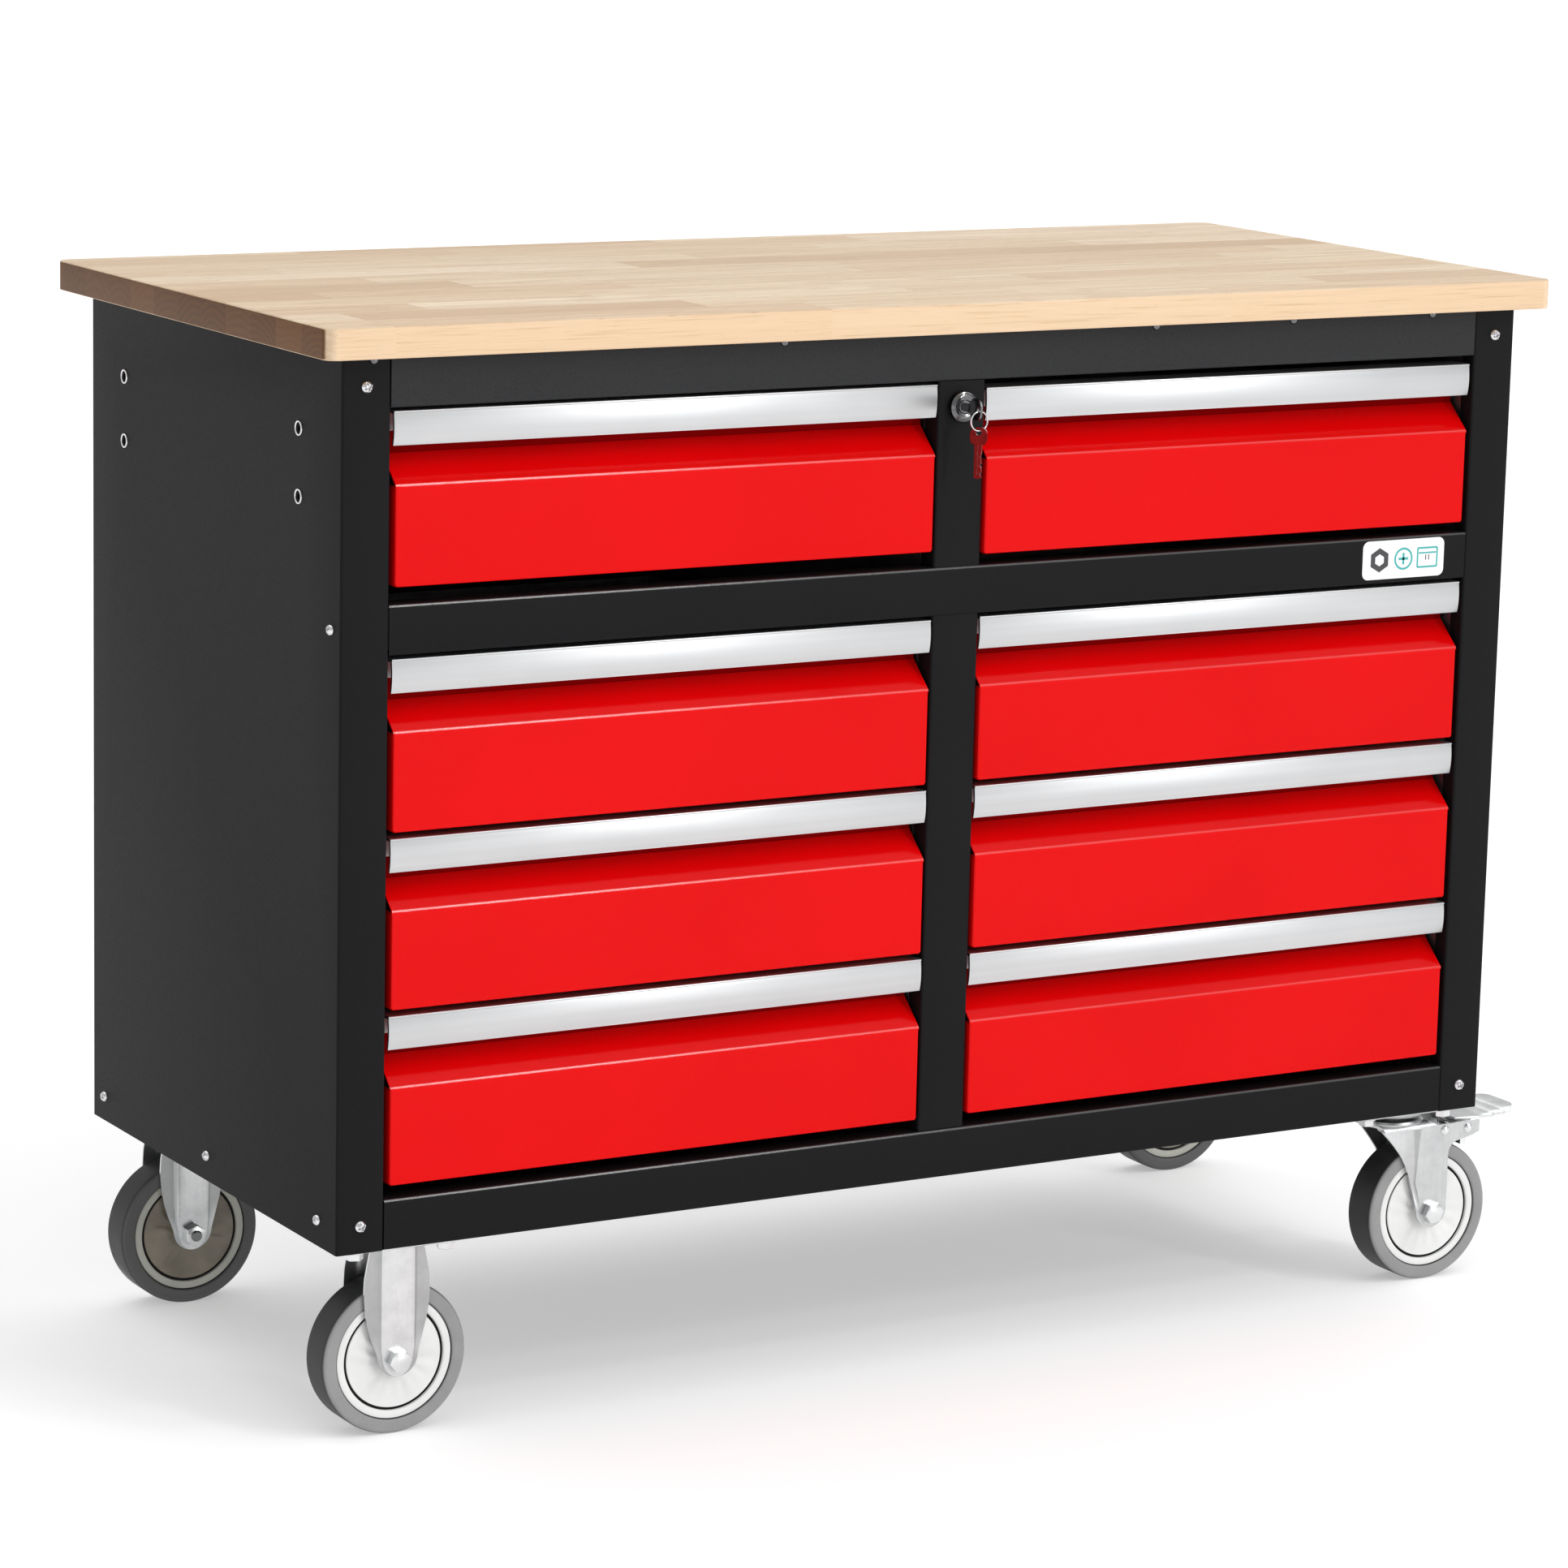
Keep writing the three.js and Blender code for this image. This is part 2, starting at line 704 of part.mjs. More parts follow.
function lockHousing() {
  const bore = LOCK.plugRadius + CLEARANCE;
  const seat = postFront - CLEARANCE;
  const rear = postFront + 18;
  const points = [
    [bore, lockFace],
    [LOCK.bezelRadius - 1.5, lockFace],
    [LOCK.bezelRadius, lockFace + 1.5],
    [LOCK.bezelRadius, seat],
    [LOCK.bodyRadius, seat],
    [LOCK.bodyRadius, rear],
    [bore, rear],
  ];
  return turnedY(points, 24).translate(0, 0, LOCK.z);
}

// Turning plug with its cam, and the key that stands in it.
function lockPlugAndKey() {
  const rear = postFront + 20;
  const plug = rodY(LOCK.plugRadius, 0, lockFace, rear, LOCK.z);
  const cam = box(-5, 5, rear - 0.2, rear + 2, LOCK.z - 16, LOCK.z + 5);
  const half = KEY.thickness / 2;
  const bowY = front - KEY.bowCentre;
  const neck = box(-half, half, bowY + KEY.bowRadius - 1.5, lockFace + 2, LOCK.z - 3.6, LOCK.z + 3.6);
  const bow = new THREE.CylinderGeometry(KEY.bowRadius, KEY.bowRadius, KEY.thickness, 20);
  const hole = new THREE.CylinderGeometry(KEY.holeRadius, KEY.holeRadius, KEY.thickness + 2, 12);
  bow.rotateZ(Math.PI / 2).translate(0, bowY, LOCK.z);
  hole.rotateZ(Math.PI / 2).translate(0, ringY, LOCK.z);
  return cut(join(plug, cam, neck, bow), hole);
}

function keyRing() {
  const ring = new THREE.TorusGeometry(KEY_RING.radius, KEY_RING.wire, 6, 20);
  return ring.rotateX(Math.PI / 2).translate(0, ringY, ringCentre);
}

// Spare key hanging from the ring, turned out of the ring's plane so that the wire threads it.
function spareKey() {
  const { length, width, holeRadius, thickness } = SPARE_KEY;
  const ringBottom = ringCentre - KEY_RING.radius;
  const holeZ = ringBottom - holeRadius + KEY_RING.wire + 2 * CLEARANCE;
  const bowTop = holeZ + holeRadius + 1.6;
  const shape = new THREE.Shape();
  const bladeHalf = 3.6;
  const bowBottom = bowTop - 15;
  const tip = bowTop - length;
  const bulge = width / 2 + 2;
  shape.moveTo(-bladeHalf, bowBottom);
  shape.bezierCurveTo(-bulge, bowBottom + 4, 1 - bulge, bowTop, -4, bowTop);
  shape.lineTo(4, bowTop);
  shape.bezierCurveTo(bulge - 1, bowTop, bulge, bowBottom + 4, bladeHalf, bowBottom);
  shape.lineTo(bladeHalf, bowBottom - 6);
  for (let notch = 0; notch < 4; notch += 1) {
    const z = bowBottom - 7 - notch * 4;
    shape.lineTo(bladeHalf - 0.4, z);
    shape.lineTo(bladeHalf - 1.6 + (notch % 2) * 0.7, z - 2);
  }
  shape.lineTo(bladeHalf - 1.4, tip + 1.6);
  shape.lineTo(0, tip);
  shape.lineTo(-bladeHalf + 0.4, tip + 1.6);
  shape.lineTo(-bladeHalf + 0.4, bowBottom - 6);
  shape.closePath();
  const blank = prismY(shape, -thickness / 2, thickness / 2, 6);
  const drilled = cut(blank, rodY(holeRadius, 0, -thickness, thickness, holeZ, 20));
  return drilled.rotateZ(THREE.MathUtils.degToRad(SPARE_KEY.turn)).translate(0, ringY, 0);
}

// ---------------------------------------------------------------- assembly

add('worktop', worktop(), MATERIALS.wood);
add('side_panel_left', leftSidePanel(), MATERIALS.black);
add('side_panel_right', mirrorX(leftSidePanel()), MATERIALS.black);
add('inner_panel_left', leftInnerPanel(), MATERIALS.galvanised);
add('inner_panel_right', mirrorX(leftInnerPanel()), MATERIALS.galvanised);
add('centre_partition', centrePartition(), MATERIALS.galvanised);
add('back_panel', backPanel(), MATERIALS.black);
add('bottom_panel', bottomPanel(), MATERIALS.black);
add('bottom_rail', rail(CABINET.floorGap, RAIL.bottomTop), MATERIALS.black);
add('mid_rail', midRail(), MATERIALS.black);
add('top_rail', rail(RAIL.topBottom, cabinetTop), MATERIALS.black);
add('centre_post', centrePost(), MATERIALS.black);
addDrawers();
addCasters();
add('lock_housing', lockHousing(), MATERIALS.chrome);
add('lock_plug_and_key', lockPlugAndKey(), MATERIALS.chrome);
add('key_ring', keyRing(), MATERIALS.chrome);
add('spare_key', spareKey(), MATERIALS.chrome);

// The origin is under the middle of the bench's outer box. The brake pedals reach past the worktop
// on the right and the key past it in front, so the box isn't centred on the cabinet.
const outerBox = new THREE.Box3().setFromObject(bench);
const middle = outerBox.getCenter(new THREE.Vector3());
bench.position.set(-middle.x, -middle.y, -outerBox.min.z);

export default bench;
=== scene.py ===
"""The looks of the mobile workbench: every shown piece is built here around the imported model.

The cabinet faces -Y. Shapes are written in millimetres, and Builder turns them into metres. Places
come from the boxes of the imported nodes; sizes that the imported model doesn't give are named below.
"""

import json
from math import acos, atan2, cos, degrees, exp, hypot, pi, radians, sin, sqrt, tan

import bmesh
import bpy
from mathutils import Matrix, Vector


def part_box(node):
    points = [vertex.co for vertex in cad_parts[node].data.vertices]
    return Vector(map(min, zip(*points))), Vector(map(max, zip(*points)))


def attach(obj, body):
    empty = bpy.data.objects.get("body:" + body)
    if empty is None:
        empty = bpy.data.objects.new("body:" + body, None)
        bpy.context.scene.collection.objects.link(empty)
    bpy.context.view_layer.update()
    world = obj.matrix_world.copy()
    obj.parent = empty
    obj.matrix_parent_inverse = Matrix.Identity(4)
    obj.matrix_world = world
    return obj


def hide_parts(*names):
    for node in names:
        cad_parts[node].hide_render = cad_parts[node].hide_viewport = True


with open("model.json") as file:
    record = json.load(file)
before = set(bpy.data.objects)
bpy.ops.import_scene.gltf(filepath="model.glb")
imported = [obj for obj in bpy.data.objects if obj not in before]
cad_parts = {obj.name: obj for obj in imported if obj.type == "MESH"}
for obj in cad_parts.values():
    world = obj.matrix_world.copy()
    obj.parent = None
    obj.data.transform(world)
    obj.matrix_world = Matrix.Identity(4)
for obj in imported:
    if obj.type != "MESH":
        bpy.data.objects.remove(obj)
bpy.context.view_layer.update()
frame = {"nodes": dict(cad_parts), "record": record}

BODIES = {node: body for body, nodes in frame["record"]["behaviour"]["bodies"].items() for node in nodes}
SLOTS = {part["node"]: part["material_slot"] for part in frame["record"]["subparts"]}

MM = 0.001
SIDES = ("left", "right")
ENDS = ("front", "rear")
ROWS = (1, 2, 3, 4)

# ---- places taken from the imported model


def cad(node):
    """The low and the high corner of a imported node, in millimetres."""
    low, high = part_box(node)
    return low / MM, high / MM


def cad_middle(node):
    low, high = cad(node)
    return (low + high) / 2


BOARD_LOW, BOARD_HIGH = cad("worktop")
CENTRE_X = (BOARD_LOW.x + BOARD_HIGH.x) / 2
CENTRE_Y = (BOARD_LOW.y + BOARD_HIGH.y) / 2
PANEL_LOW, PANEL_HIGH = cad("side_panel_left")
CABINET_LEFT = PANEL_LOW.x
CABINET_RIGHT = 2 * CENTRE_X - CABINET_LEFT
OPENING_LEFT = PANEL_HIGH.x
FRONT = PANEL_LOW.y
BACK = PANEL_HIGH.y
CABINET_BOTTOM = PANEL_LOW.z
CABINET_TOP = PANEL_HIGH.z

SHEET = 1.2
BEND = 1.0  # inside radius of a bend in the sheet

# The camera solved from the photo: degrees, and metres from the floor under the cabinet's middle.
CAMERA_PLACE = Vector((-2.324147, -3.978461, 1.361625))
CAMERA_AZIMUTH = -30.099
CAMERA_ELEVATION = 11.220
CAMERA_ROLL = 1.332
CAMERA_LENS = 125.93
CAMERA_SENSOR = 36.0

# ---- outlines


def sheet_section(path, inside=BEND, thickness=SHEET, steps=5):
    """The two faces of a sheet bent along path, which is its outer face. The sheet lies to its left."""
    outer = []
    inner = []
    points = [Vector(p) for p in path]
    for i, point in enumerate(points):
        before = (point - points[i - 1]).normalized() if i else None
        after = (points[i + 1] - point).normalized() if i < len(points) - 1 else None
        if before is None or after is None:
            heading = after or before
            outer.append(point)
            inner.append(point + Vector((-heading.y, heading.x)) * thickness)
            continue
        turn = atan2(before.x * after.y - before.y * after.x, before.dot(after))
        side = 1 if turn > 0 else -1
        radius = inside + thickness if turn > 0 else inside
        to_centre = Vector((-before.y, before.x)) * side
        centre = point - before * radius * tan(abs(turn) / 2) + to_centre * radius
        for step in range(steps + 1):
            spoke = Matrix.Rotation(turn * step / steps, 2) @ -to_centre
            outer.append(centre + spoke * radius)
            inner.append(centre + spoke * (radius - side * thickness))
    return outer, inner


def arc(cx, cy, radius, start, end, steps):
    """Points on an arc, angles in degrees."""
    angles = [radians(start + (end - start) * i / steps) for i in range(steps + 1)]
    return [(cx + radius * cos(a), cy + radius * sin(a)) for a in angles]


def rounded_rectangle(half_x, half_y, radius, steps=6):
    outline = []
    for sx, sy, start in ((1, -1, -90), (1, 1, 0), (-1, 1, 90), (-1, -1, 180)):
        outline += arc(sx * (half_x - radius), sy * (half_y - radius), radius, start, start + 90, steps)
    return outline


def smooth(t):
    t = min(max(t, 0.0), 1.0)
    return t * t * (3 - 2 * t)


def along(keys, at):
    """Linear interpolation in a list of (position, value) keys."""
    for (a, va), (b, vb) in zip(keys, keys[1:]):
        if at <= b:
            return va + (vb - va) * (at - a) / (b - a) if at > a else va
    return keys[-1][1]


def rotation(angle, axis):
    return Matrix.Rotation(radians(angle), 4, axis)


def facing(point, direction, spin=0.0):
    """A matrix that stands local +Z along direction at point."""
    turn = Vector(direction).to_track_quat("Z", "Y").to_matrix().to_4x4()
    return Matrix.Translation(point) @ turn @ rotation(spin, "Z")


def spread(point, w, axis):
    """A point of a flat outline in space: w goes to axis, the outline to the other two in order."""
    u, v = point
    return {"x": (w, u, v), "y": (u, w, v), "z": (u, v, w)}[axis]


# ---- mesh builder


def scene_object(name, data):
    made = bpy.data.objects.new(name, data)
    bpy.context.scene.collection.objects.link(made)
    return made


class Builder:
    """Collects closed shapes, in millimetres, and turns them into one piece."""

    def __init__(self, matrix=None):
        self.bm = bmesh.new()
        self.matrix = matrix or Matrix.Identity(4)
        self.material = 0

    def at(self, matrix):
        """Later shapes are moved by this matrix."""
        self.matrix = matrix

    def add(self, verts, faces, shades=None):
        """Adds faces over new vertices, in the current material or in their own ones."""
        made = [self.bm.verts.new((self.matrix @ Vector(v)) * MM) for v in verts]
        for face, shade in zip(faces, shades or [self.material] * len(faces)):
            corners = [made[i] for i in face]
            if len(set(corners)) > 2:
                self.bm.faces.new(corners).material_index = shade

    def box(self, low, high):
        xs, ys, zs = zip(low, high)
        verts = [(x, y, z) for x in xs for y in ys for z in zs]
        faces = [(0, 1, 3, 2), (4, 6, 7, 5), (0, 4, 5, 1), (2, 3, 7, 6), (0, 2, 6, 4), (1, 5, 7, 3)]
        self.add(verts, faces)

    def rings(self, rings, close=False):
        """Quads between matching closed rings. Open ends are capped, or joined when close is true."""
        count = len(rings[0])
        faces = []
        for r in range(len(rings) if close else len(rings) - 1):
            here = r * count
            there = ((r + 1) % len(rings)) * count
            for i in range(count):
                j = (i + 1) % count
                faces.append((here + i, here + j, there + j, there + i))
        if not close:
            last = (len(rings) - 1) * count
            faces += [tuple(range(count)), tuple(range(last, last + count))]
        self.add([v for ring in rings for v in ring], faces)

    def stack(self, levels, close=False):
        """Rings from (outline in X and Y, z) levels."""
        self.rings([[(x, y, z) for x, y in outline] for outline, z in levels], close)

    def extrude(self, outline, span, axis):
        self.rings([[spread(point, w, axis) for point in outline] for w in span])

    def turned(self, profile, segments, ripple=None):
        """Turns a closed profile of (radius, z) points about Z."""
        rings = []
        for i in range(segments):
            angle = 2 * pi * i / segments
            c = cos(angle)
            s = sin(angle)
            rings.append([(r * c, r * s, z + (ripple(r, angle) if ripple else 0)) for r, z in profile])
        self.rings(rings, close=True)

    def sheet(self, path, span, axis, flip=None, **bends):
        """A bent sheet: its section runs over span along axis. flip mirrors the section's x at flip / 2."""
        outer, inner = sheet_section(path, **bends)
        count = len(outer)
        total = 2 * count
        loop = outer + inner[::-1]
        if flip is not None:
            loop = [Vector((flip - p.x, p.y)) for p in loop]
        faces = [(i, (i + 1) % total, (i + 1) % total + total, i + total) for i in range(total)]
        for base in (0, total):
            for i in range(count - 1):
                faces.append((base + i, base + i + 1, base + total - 2 - i, base + total - 1 - i))
        self.add([spread(p, w, axis) for w in span for p in loop], faces)

    def thick_grid(self, grid, offset, pressed=()):
        """A closed plate from rows of points and the same points moved by offset.

        The columns of faces that are named in pressed take the second material, which carries painted shade.
        """
        rows = len(grid)
        cols = len(grid[0])
        flat = [Vector(p) for row in grid for p in row]
        total = rows * cols
        faces = []
        for r in range(rows - 1):
            for c in range(cols - 1):
                a = r * cols + c
                quad = (a, a + 1, a + cols + 1, a + cols)
                faces += [quad, tuple(total + i for i in reversed(quad))]
        rim = list(range(cols))
        rim += [r * cols + cols - 1 for r in range(1, rows)]
        rim += [(rows - 1) * cols + c for c in range(cols - 2, -1, -1)]
        rim += [r * cols for r in range(rows - 2, 0, -1)]
        faces += [(a, b, b + total, a + total) for a, b in zip(rim, rim[1:] + rim[:1])]
        shades = [int(c in pressed) for _ in range(rows - 1) for c in range(cols - 1) for _ in (0, 1)]
        moved = [p + (offset(p) if callable(offset) else Vector(offset)) for p in flat]
        self.add(flat + moved, faces, shades + [0] * len(rim))

    def shade(self, index, chosen):
        """Gives another material to the faces in the first one whose middle is chosen."""
        for face in self.bm.faces:
            if face.material_index == 0 and chosen(face.calc_center_median() / MM):
                face.material_index = index

    def replace(self, node, name, materials, edge=0.0, angle=35):
        """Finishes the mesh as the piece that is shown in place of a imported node."""
        piece = self.piece(name, BODIES[node], SLOTS[node], materials, edge, angle)
        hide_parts(node)
        return piece

    def piece(self, name, body, slot, materials, edge=0.0, angle=35):
        """Finishes the mesh and puts it on its body. edge is the width of a small rounding."""
        bmesh.ops.remove_doubles(self.bm, verts=self.bm.verts, dist=1e-7)
        bmesh.ops.dissolve_degenerate(self.bm, edges=self.bm.edges, dist=1e-7)
        piece = self.shape(name)
        mesh = piece.data
        for polygon in mesh.polygons:
            polygon.use_smooth = True
        mesh.set_sharp_from_angle(angle=radians(angle))
        for material in materials:
            mesh.materials.append(material)
        if edge:
            bevel = piece.modifiers.new("edge", "BEVEL")
            bevel.width = edge * MM
            bevel.segments = 2
            bevel.limit_method = "ANGLE"
            bevel.angle_limit = radians(50)
            bevel.harden_normals = True
        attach(piece, body)
        return piece

    def shape(self, name):
        """The collected faces as an object in the scene."""
        bmesh.ops.recalc_face_normals(self.bm, faces=self.bm.faces)
        mesh = bpy.data.meshes.new(name)
        self.bm.to_mesh(mesh)
        self.bm.free()
        return scene_object(name, mesh)


# ---- material builder


class Nodes:
    """A short way to wire a node material that ends in one Principled shader. Its lengths are in metres."""

    def __init__(self, name, **constants):
        self.material = bpy.data.materials.new(name)
        self.material.use_nodes = True
        self.tree = self.material.node_tree
        self.shader = self.tree.nodes["Principled BSDF"]
        texture_space = self.tree.nodes.new("ShaderNodeTexCoord")
        self.coordinates = texture_space.outputs["Object"]
        self.normal = texture_space.outputs["Normal"]
        for key, value in constants.items():
            self.shader.inputs[key.replace("_", " ")].default_value = value

    def node(self, kind, settings=(), **inputs):
        made = self.tree.nodes.new(kind)
        for key, value in dict(settings).items():
            setattr(made, key, value)
        for key, value in inputs.items():
            self.feed(made.inputs[key], value)
        return made

    def feed(self, socket, value):
        """Links a socket to another node, or sets its number or its colour."""
        if isinstance(value, bpy.types.NodeSocket):
            self.tree.links.new(value, socket)
        else:
            socket.default_value = (*value, 1.0) if isinstance(value, tuple) else value

    def math(self, operation, *values):
        made = self.tree.nodes.new("ShaderNodeMath")
        made.operation = operation
        for socket, value in zip(made.inputs, values):
            self.feed(socket, value)
        return made.outputs[0]

    def noise(self, scale, detail=2.0, roughness=0.5, source=None):
        """Noise of one scale, or of three scales along X, Y and Z."""
        vector = source or self.coordinates
        if isinstance(scale, tuple):
            mapping = self.node("ShaderNodeMapping", Vector=vector)
            mapping.inputs["Scale"].default_value = scale
            vector = mapping.outputs[0]
            scale = 1.0
        made = self.node("ShaderNodeTexNoise", Vector=vector, Scale=scale, Detail=detail, Roughness=roughness)
        return made.outputs["Fac"]

    def remap(self, value, low, high, to_low=0.0, to_high=1.0):
        made = self.node("ShaderNodeMapRange", Value=value)
        for socket, number in zip(made.inputs[1:5], (low, high, to_low, to_high)):
            socket.default_value = number
        return made.outputs[0]

    def mix(self, factor, first, second):
        made = self.tree.nodes.new("ShaderNodeMix")
        made.data_type = "RGBA"
        self.feed(made.inputs["Factor"], factor)
        self.feed(made.inputs[6], first)
        self.feed(made.inputs[7], second)
        return made.outputs[2]

    def blend(self, value, low, high, first, second, share=1.0):
        """From first to a share of second while value runs from low to high."""
        return self.mix(self.remap(value, low, high, 0.0, share), first, second)

    def ramp(self, factor, *stops):
        made = self.node("ShaderNodeValToRGB", Fac=factor)
        elements = made.color_ramp.elements
        while len(elements) < len(stops):
            elements.new(0.5)
        for element, (position, color) in zip(elements, stops):
            element.position = position
            element.color = (*color, 1)
        return made.outputs["Color"]

    def finish(self, color, roughness, height, distance, strength):
        """Feeds the shader; height is a bump of that distance in metres."""
        self.feed(self.shader.inputs["Base Color"], color)
        self.feed(self.shader.inputs["Roughness"], roughness)
        bump = self.node("ShaderNodeBump", Height=height, Distance=distance, Strength=strength)
        self.feed(self.shader.inputs["Normal"], bump.outputs["Normal"])
        return self.material


# ---- materials


def powder_coat(name, dark, light, specular, coat=0.0):
    """Fine-textured matt powder coat."""
    n = Nodes(name, Specular_IOR_Level=specular, Coat_Weight=coat, Coat_Roughness=0.16)
    texture = n.noise(1100, 3.0, 0.6)
    patches = n.noise(9)
    tone = n.blend(texture, 0.35, 0.7, dark, light)
    color = n.blend(patches, 0.3, 0.7, tone, light, 0.25)
    return n.finish(color, n.remap(texture, 0.3, 0.7, 0.46, 0.62), texture, 0.00016, 0.7)


def red_paint(name, coat, coat_roughness, gain=1.0):
    """Semi-gloss powder coat with a faint orange peel and specks."""
    n = Nodes(name, Specular_IOR_Level=0.0, Coat_Weight=coat, Coat_Roughness=coat_roughness)
    peel = n.noise(420)
    specks = n.noise(1900, 2.0, 0.6)
    patches = n.noise(5)
    base = n.blend(specks, 0.3, 0.7, (0.65 * gain, 0.0006, 0.0012), (0.72 * gain, 0.0014, 0.0022))
    color = n.blend(patches, 0.35, 0.7, base, (0.75 * gain, 0.0016, 0.0026), 0.6)
    height = n.math("ADD", peel, n.math("MULTIPLY", specks, 0.35))
    return n.finish(color, n.remap(peel, 0.3, 0.7, 0.30, 0.40), height, 0.00006, 0.5)


def aluminium():
    """Satin anodised extrusion: fine die lines along X."""
    n = Nodes("satin_aluminium", Metallic=1.0)
    lines = n.noise((1.5, 2600, 2600), 3.0, 0.6)
    broad = n.noise((0.8, 160, 160))
    patches = n.noise(14)
    tone = n.blend(broad, 0.3, 0.7, (0.565, 0.572, 0.58), (0.615, 0.62, 0.627))
    color = n.blend(patches, 0.4, 0.7, tone, (0.54, 0.547, 0.555), 0.4)
    return n.finish(color, n.remap(lines, 0.25, 0.75, 0.32, 0.44), lines, 0.00002, 0.35)


def zinc(name, gain, roughness):
    """Bright zinc plating on pressed steel, slightly clouded."""
    n = Nodes(name, Metallic=1.0)
    clouds = n.noise(60, 4.0, 0.6)
    grain = n.noise(2600, 2.0, 0.6)
    drawn = n.noise((260, 260, 18), 3.0)
    levels = [(0.3, 0.50), (0.55, 0.56), (0.8, 0.62)]
    tone = n.ramp(clouds, *[(at, (gain * v, gain * (v + 0.01), gain * (v + 0.012))) for at, v in levels])
    color = n.blend(drawn, 0.35, 0.7, tone, (gain * 0.46, gain * 0.48, gain * 0.49), 0.35)
    rough = n.remap(n.math("ADD", grain, clouds), 0.6, 1.4, roughness, roughness + 0.12)
    return n.finish(color, rough, n.math("ADD", grain, n.math("MULTIPLY", drawn, 0.8)), 0.00004, 0.4)


def galvanised():
    """Galvanised sheet with a soft spangle."""
    n = Nodes("galvanised_sheet", Metallic=1.0)
    cells = n.node("ShaderNodeTexVoronoi", Vector=n.coordinates, Scale=90.0)
    spangle = n.math("MULTIPLY", cells.outputs["Color"], 1.0)
    clouds = n.noise(25, 3.0)
    tone = n.mix(spangle, (0.44, 0.45, 0.46), (0.56, 0.57, 0.58))
    color = n.blend(clouds, 0.3, 0.7, tone, (0.50, 0.51, 0.53), 0.4)
    return n.finish(color, n.remap(spangle, 0.0, 1.0, 0.34, 0.48), n.noise(700), 0.00003, 0.4)


def chrome(name, bright, worn):
    """Polished plating with faint wear."""
    n = Nodes(name, Metallic=1.0)
    wear = n.noise(300, 4.0, 0.65)
    color = n.blend(wear, 0.45, 0.75, bright, worn)
    return n.finish(color, n.remap(wear, 0.3, 0.8, 0.08, 0.24), wear, 0.00003, 0.25)


def tyre_rubber(name, gain):
    """Grey rubber whose rolling surface is painted nearly black: painted shade."""
    n = Nodes(name, Specular_IOR_Level=0.35)
    light = [(gain * level,) * 3 for level in (0.235, 0.285, 0.33)]
    grain = n.noise(1700, 3.0, 0.65)
    patches = n.noise(40, 3.0)
    tone = n.blend(grain, 0.3, 0.7, light[0], light[1])
    wall = n.blend(patches, 0.4, 0.75, tone, light[2], 0.5)
    # The rolling surface is painted nearly black: painted shade.
    tread_shade = n.blend(patches, 0.35, 0.7, (0.018, 0.018, 0.019), (0.032, 0.032, 0.032))
    across = n.node("ShaderNodeSeparateXYZ", Vector=n.normal).outputs[1]
    color = n.blend(n.math("ABSOLUTE", across), 0.35, 0.80, tread_shade, wall)
    return n.finish(color, n.remap(patches, 0.3, 0.7, 0.42, 0.58), grain, 0.00007, 0.5)


def grey_plastic(name, low, high, speck):
    """Moulded plastic, slightly mottled."""
    n = Nodes(name, Specular_IOR_Level=0.4)
    grain = n.noise(2200, 2.0, 0.6)
    patches = n.noise(35)
    tone = n.blend(patches, 0.3, 0.7, low, high)
    color = n.blend(grain, 0.45, 0.7, tone, speck, 0.3)
    return n.finish(color, n.remap(grain, 0.3, 0.7, 0.34, 0.46), grain, 0.00003, 0.4)


def vinyl(name, color):
    """Printed sticker film."""
    n = Nodes(name, Specular_IOR_Level=0.4)
    grain = n.noise(1500)
    shaded = n.blend(grain, 0.4, 0.7, color, tuple(0.92 * c for c in color))
    return n.finish(shaded, n.remap(grain, 0.3, 0.7, 0.28, 0.36), grain, 0.00001, 0.3)


STAVE_WIDTH = 0.0465


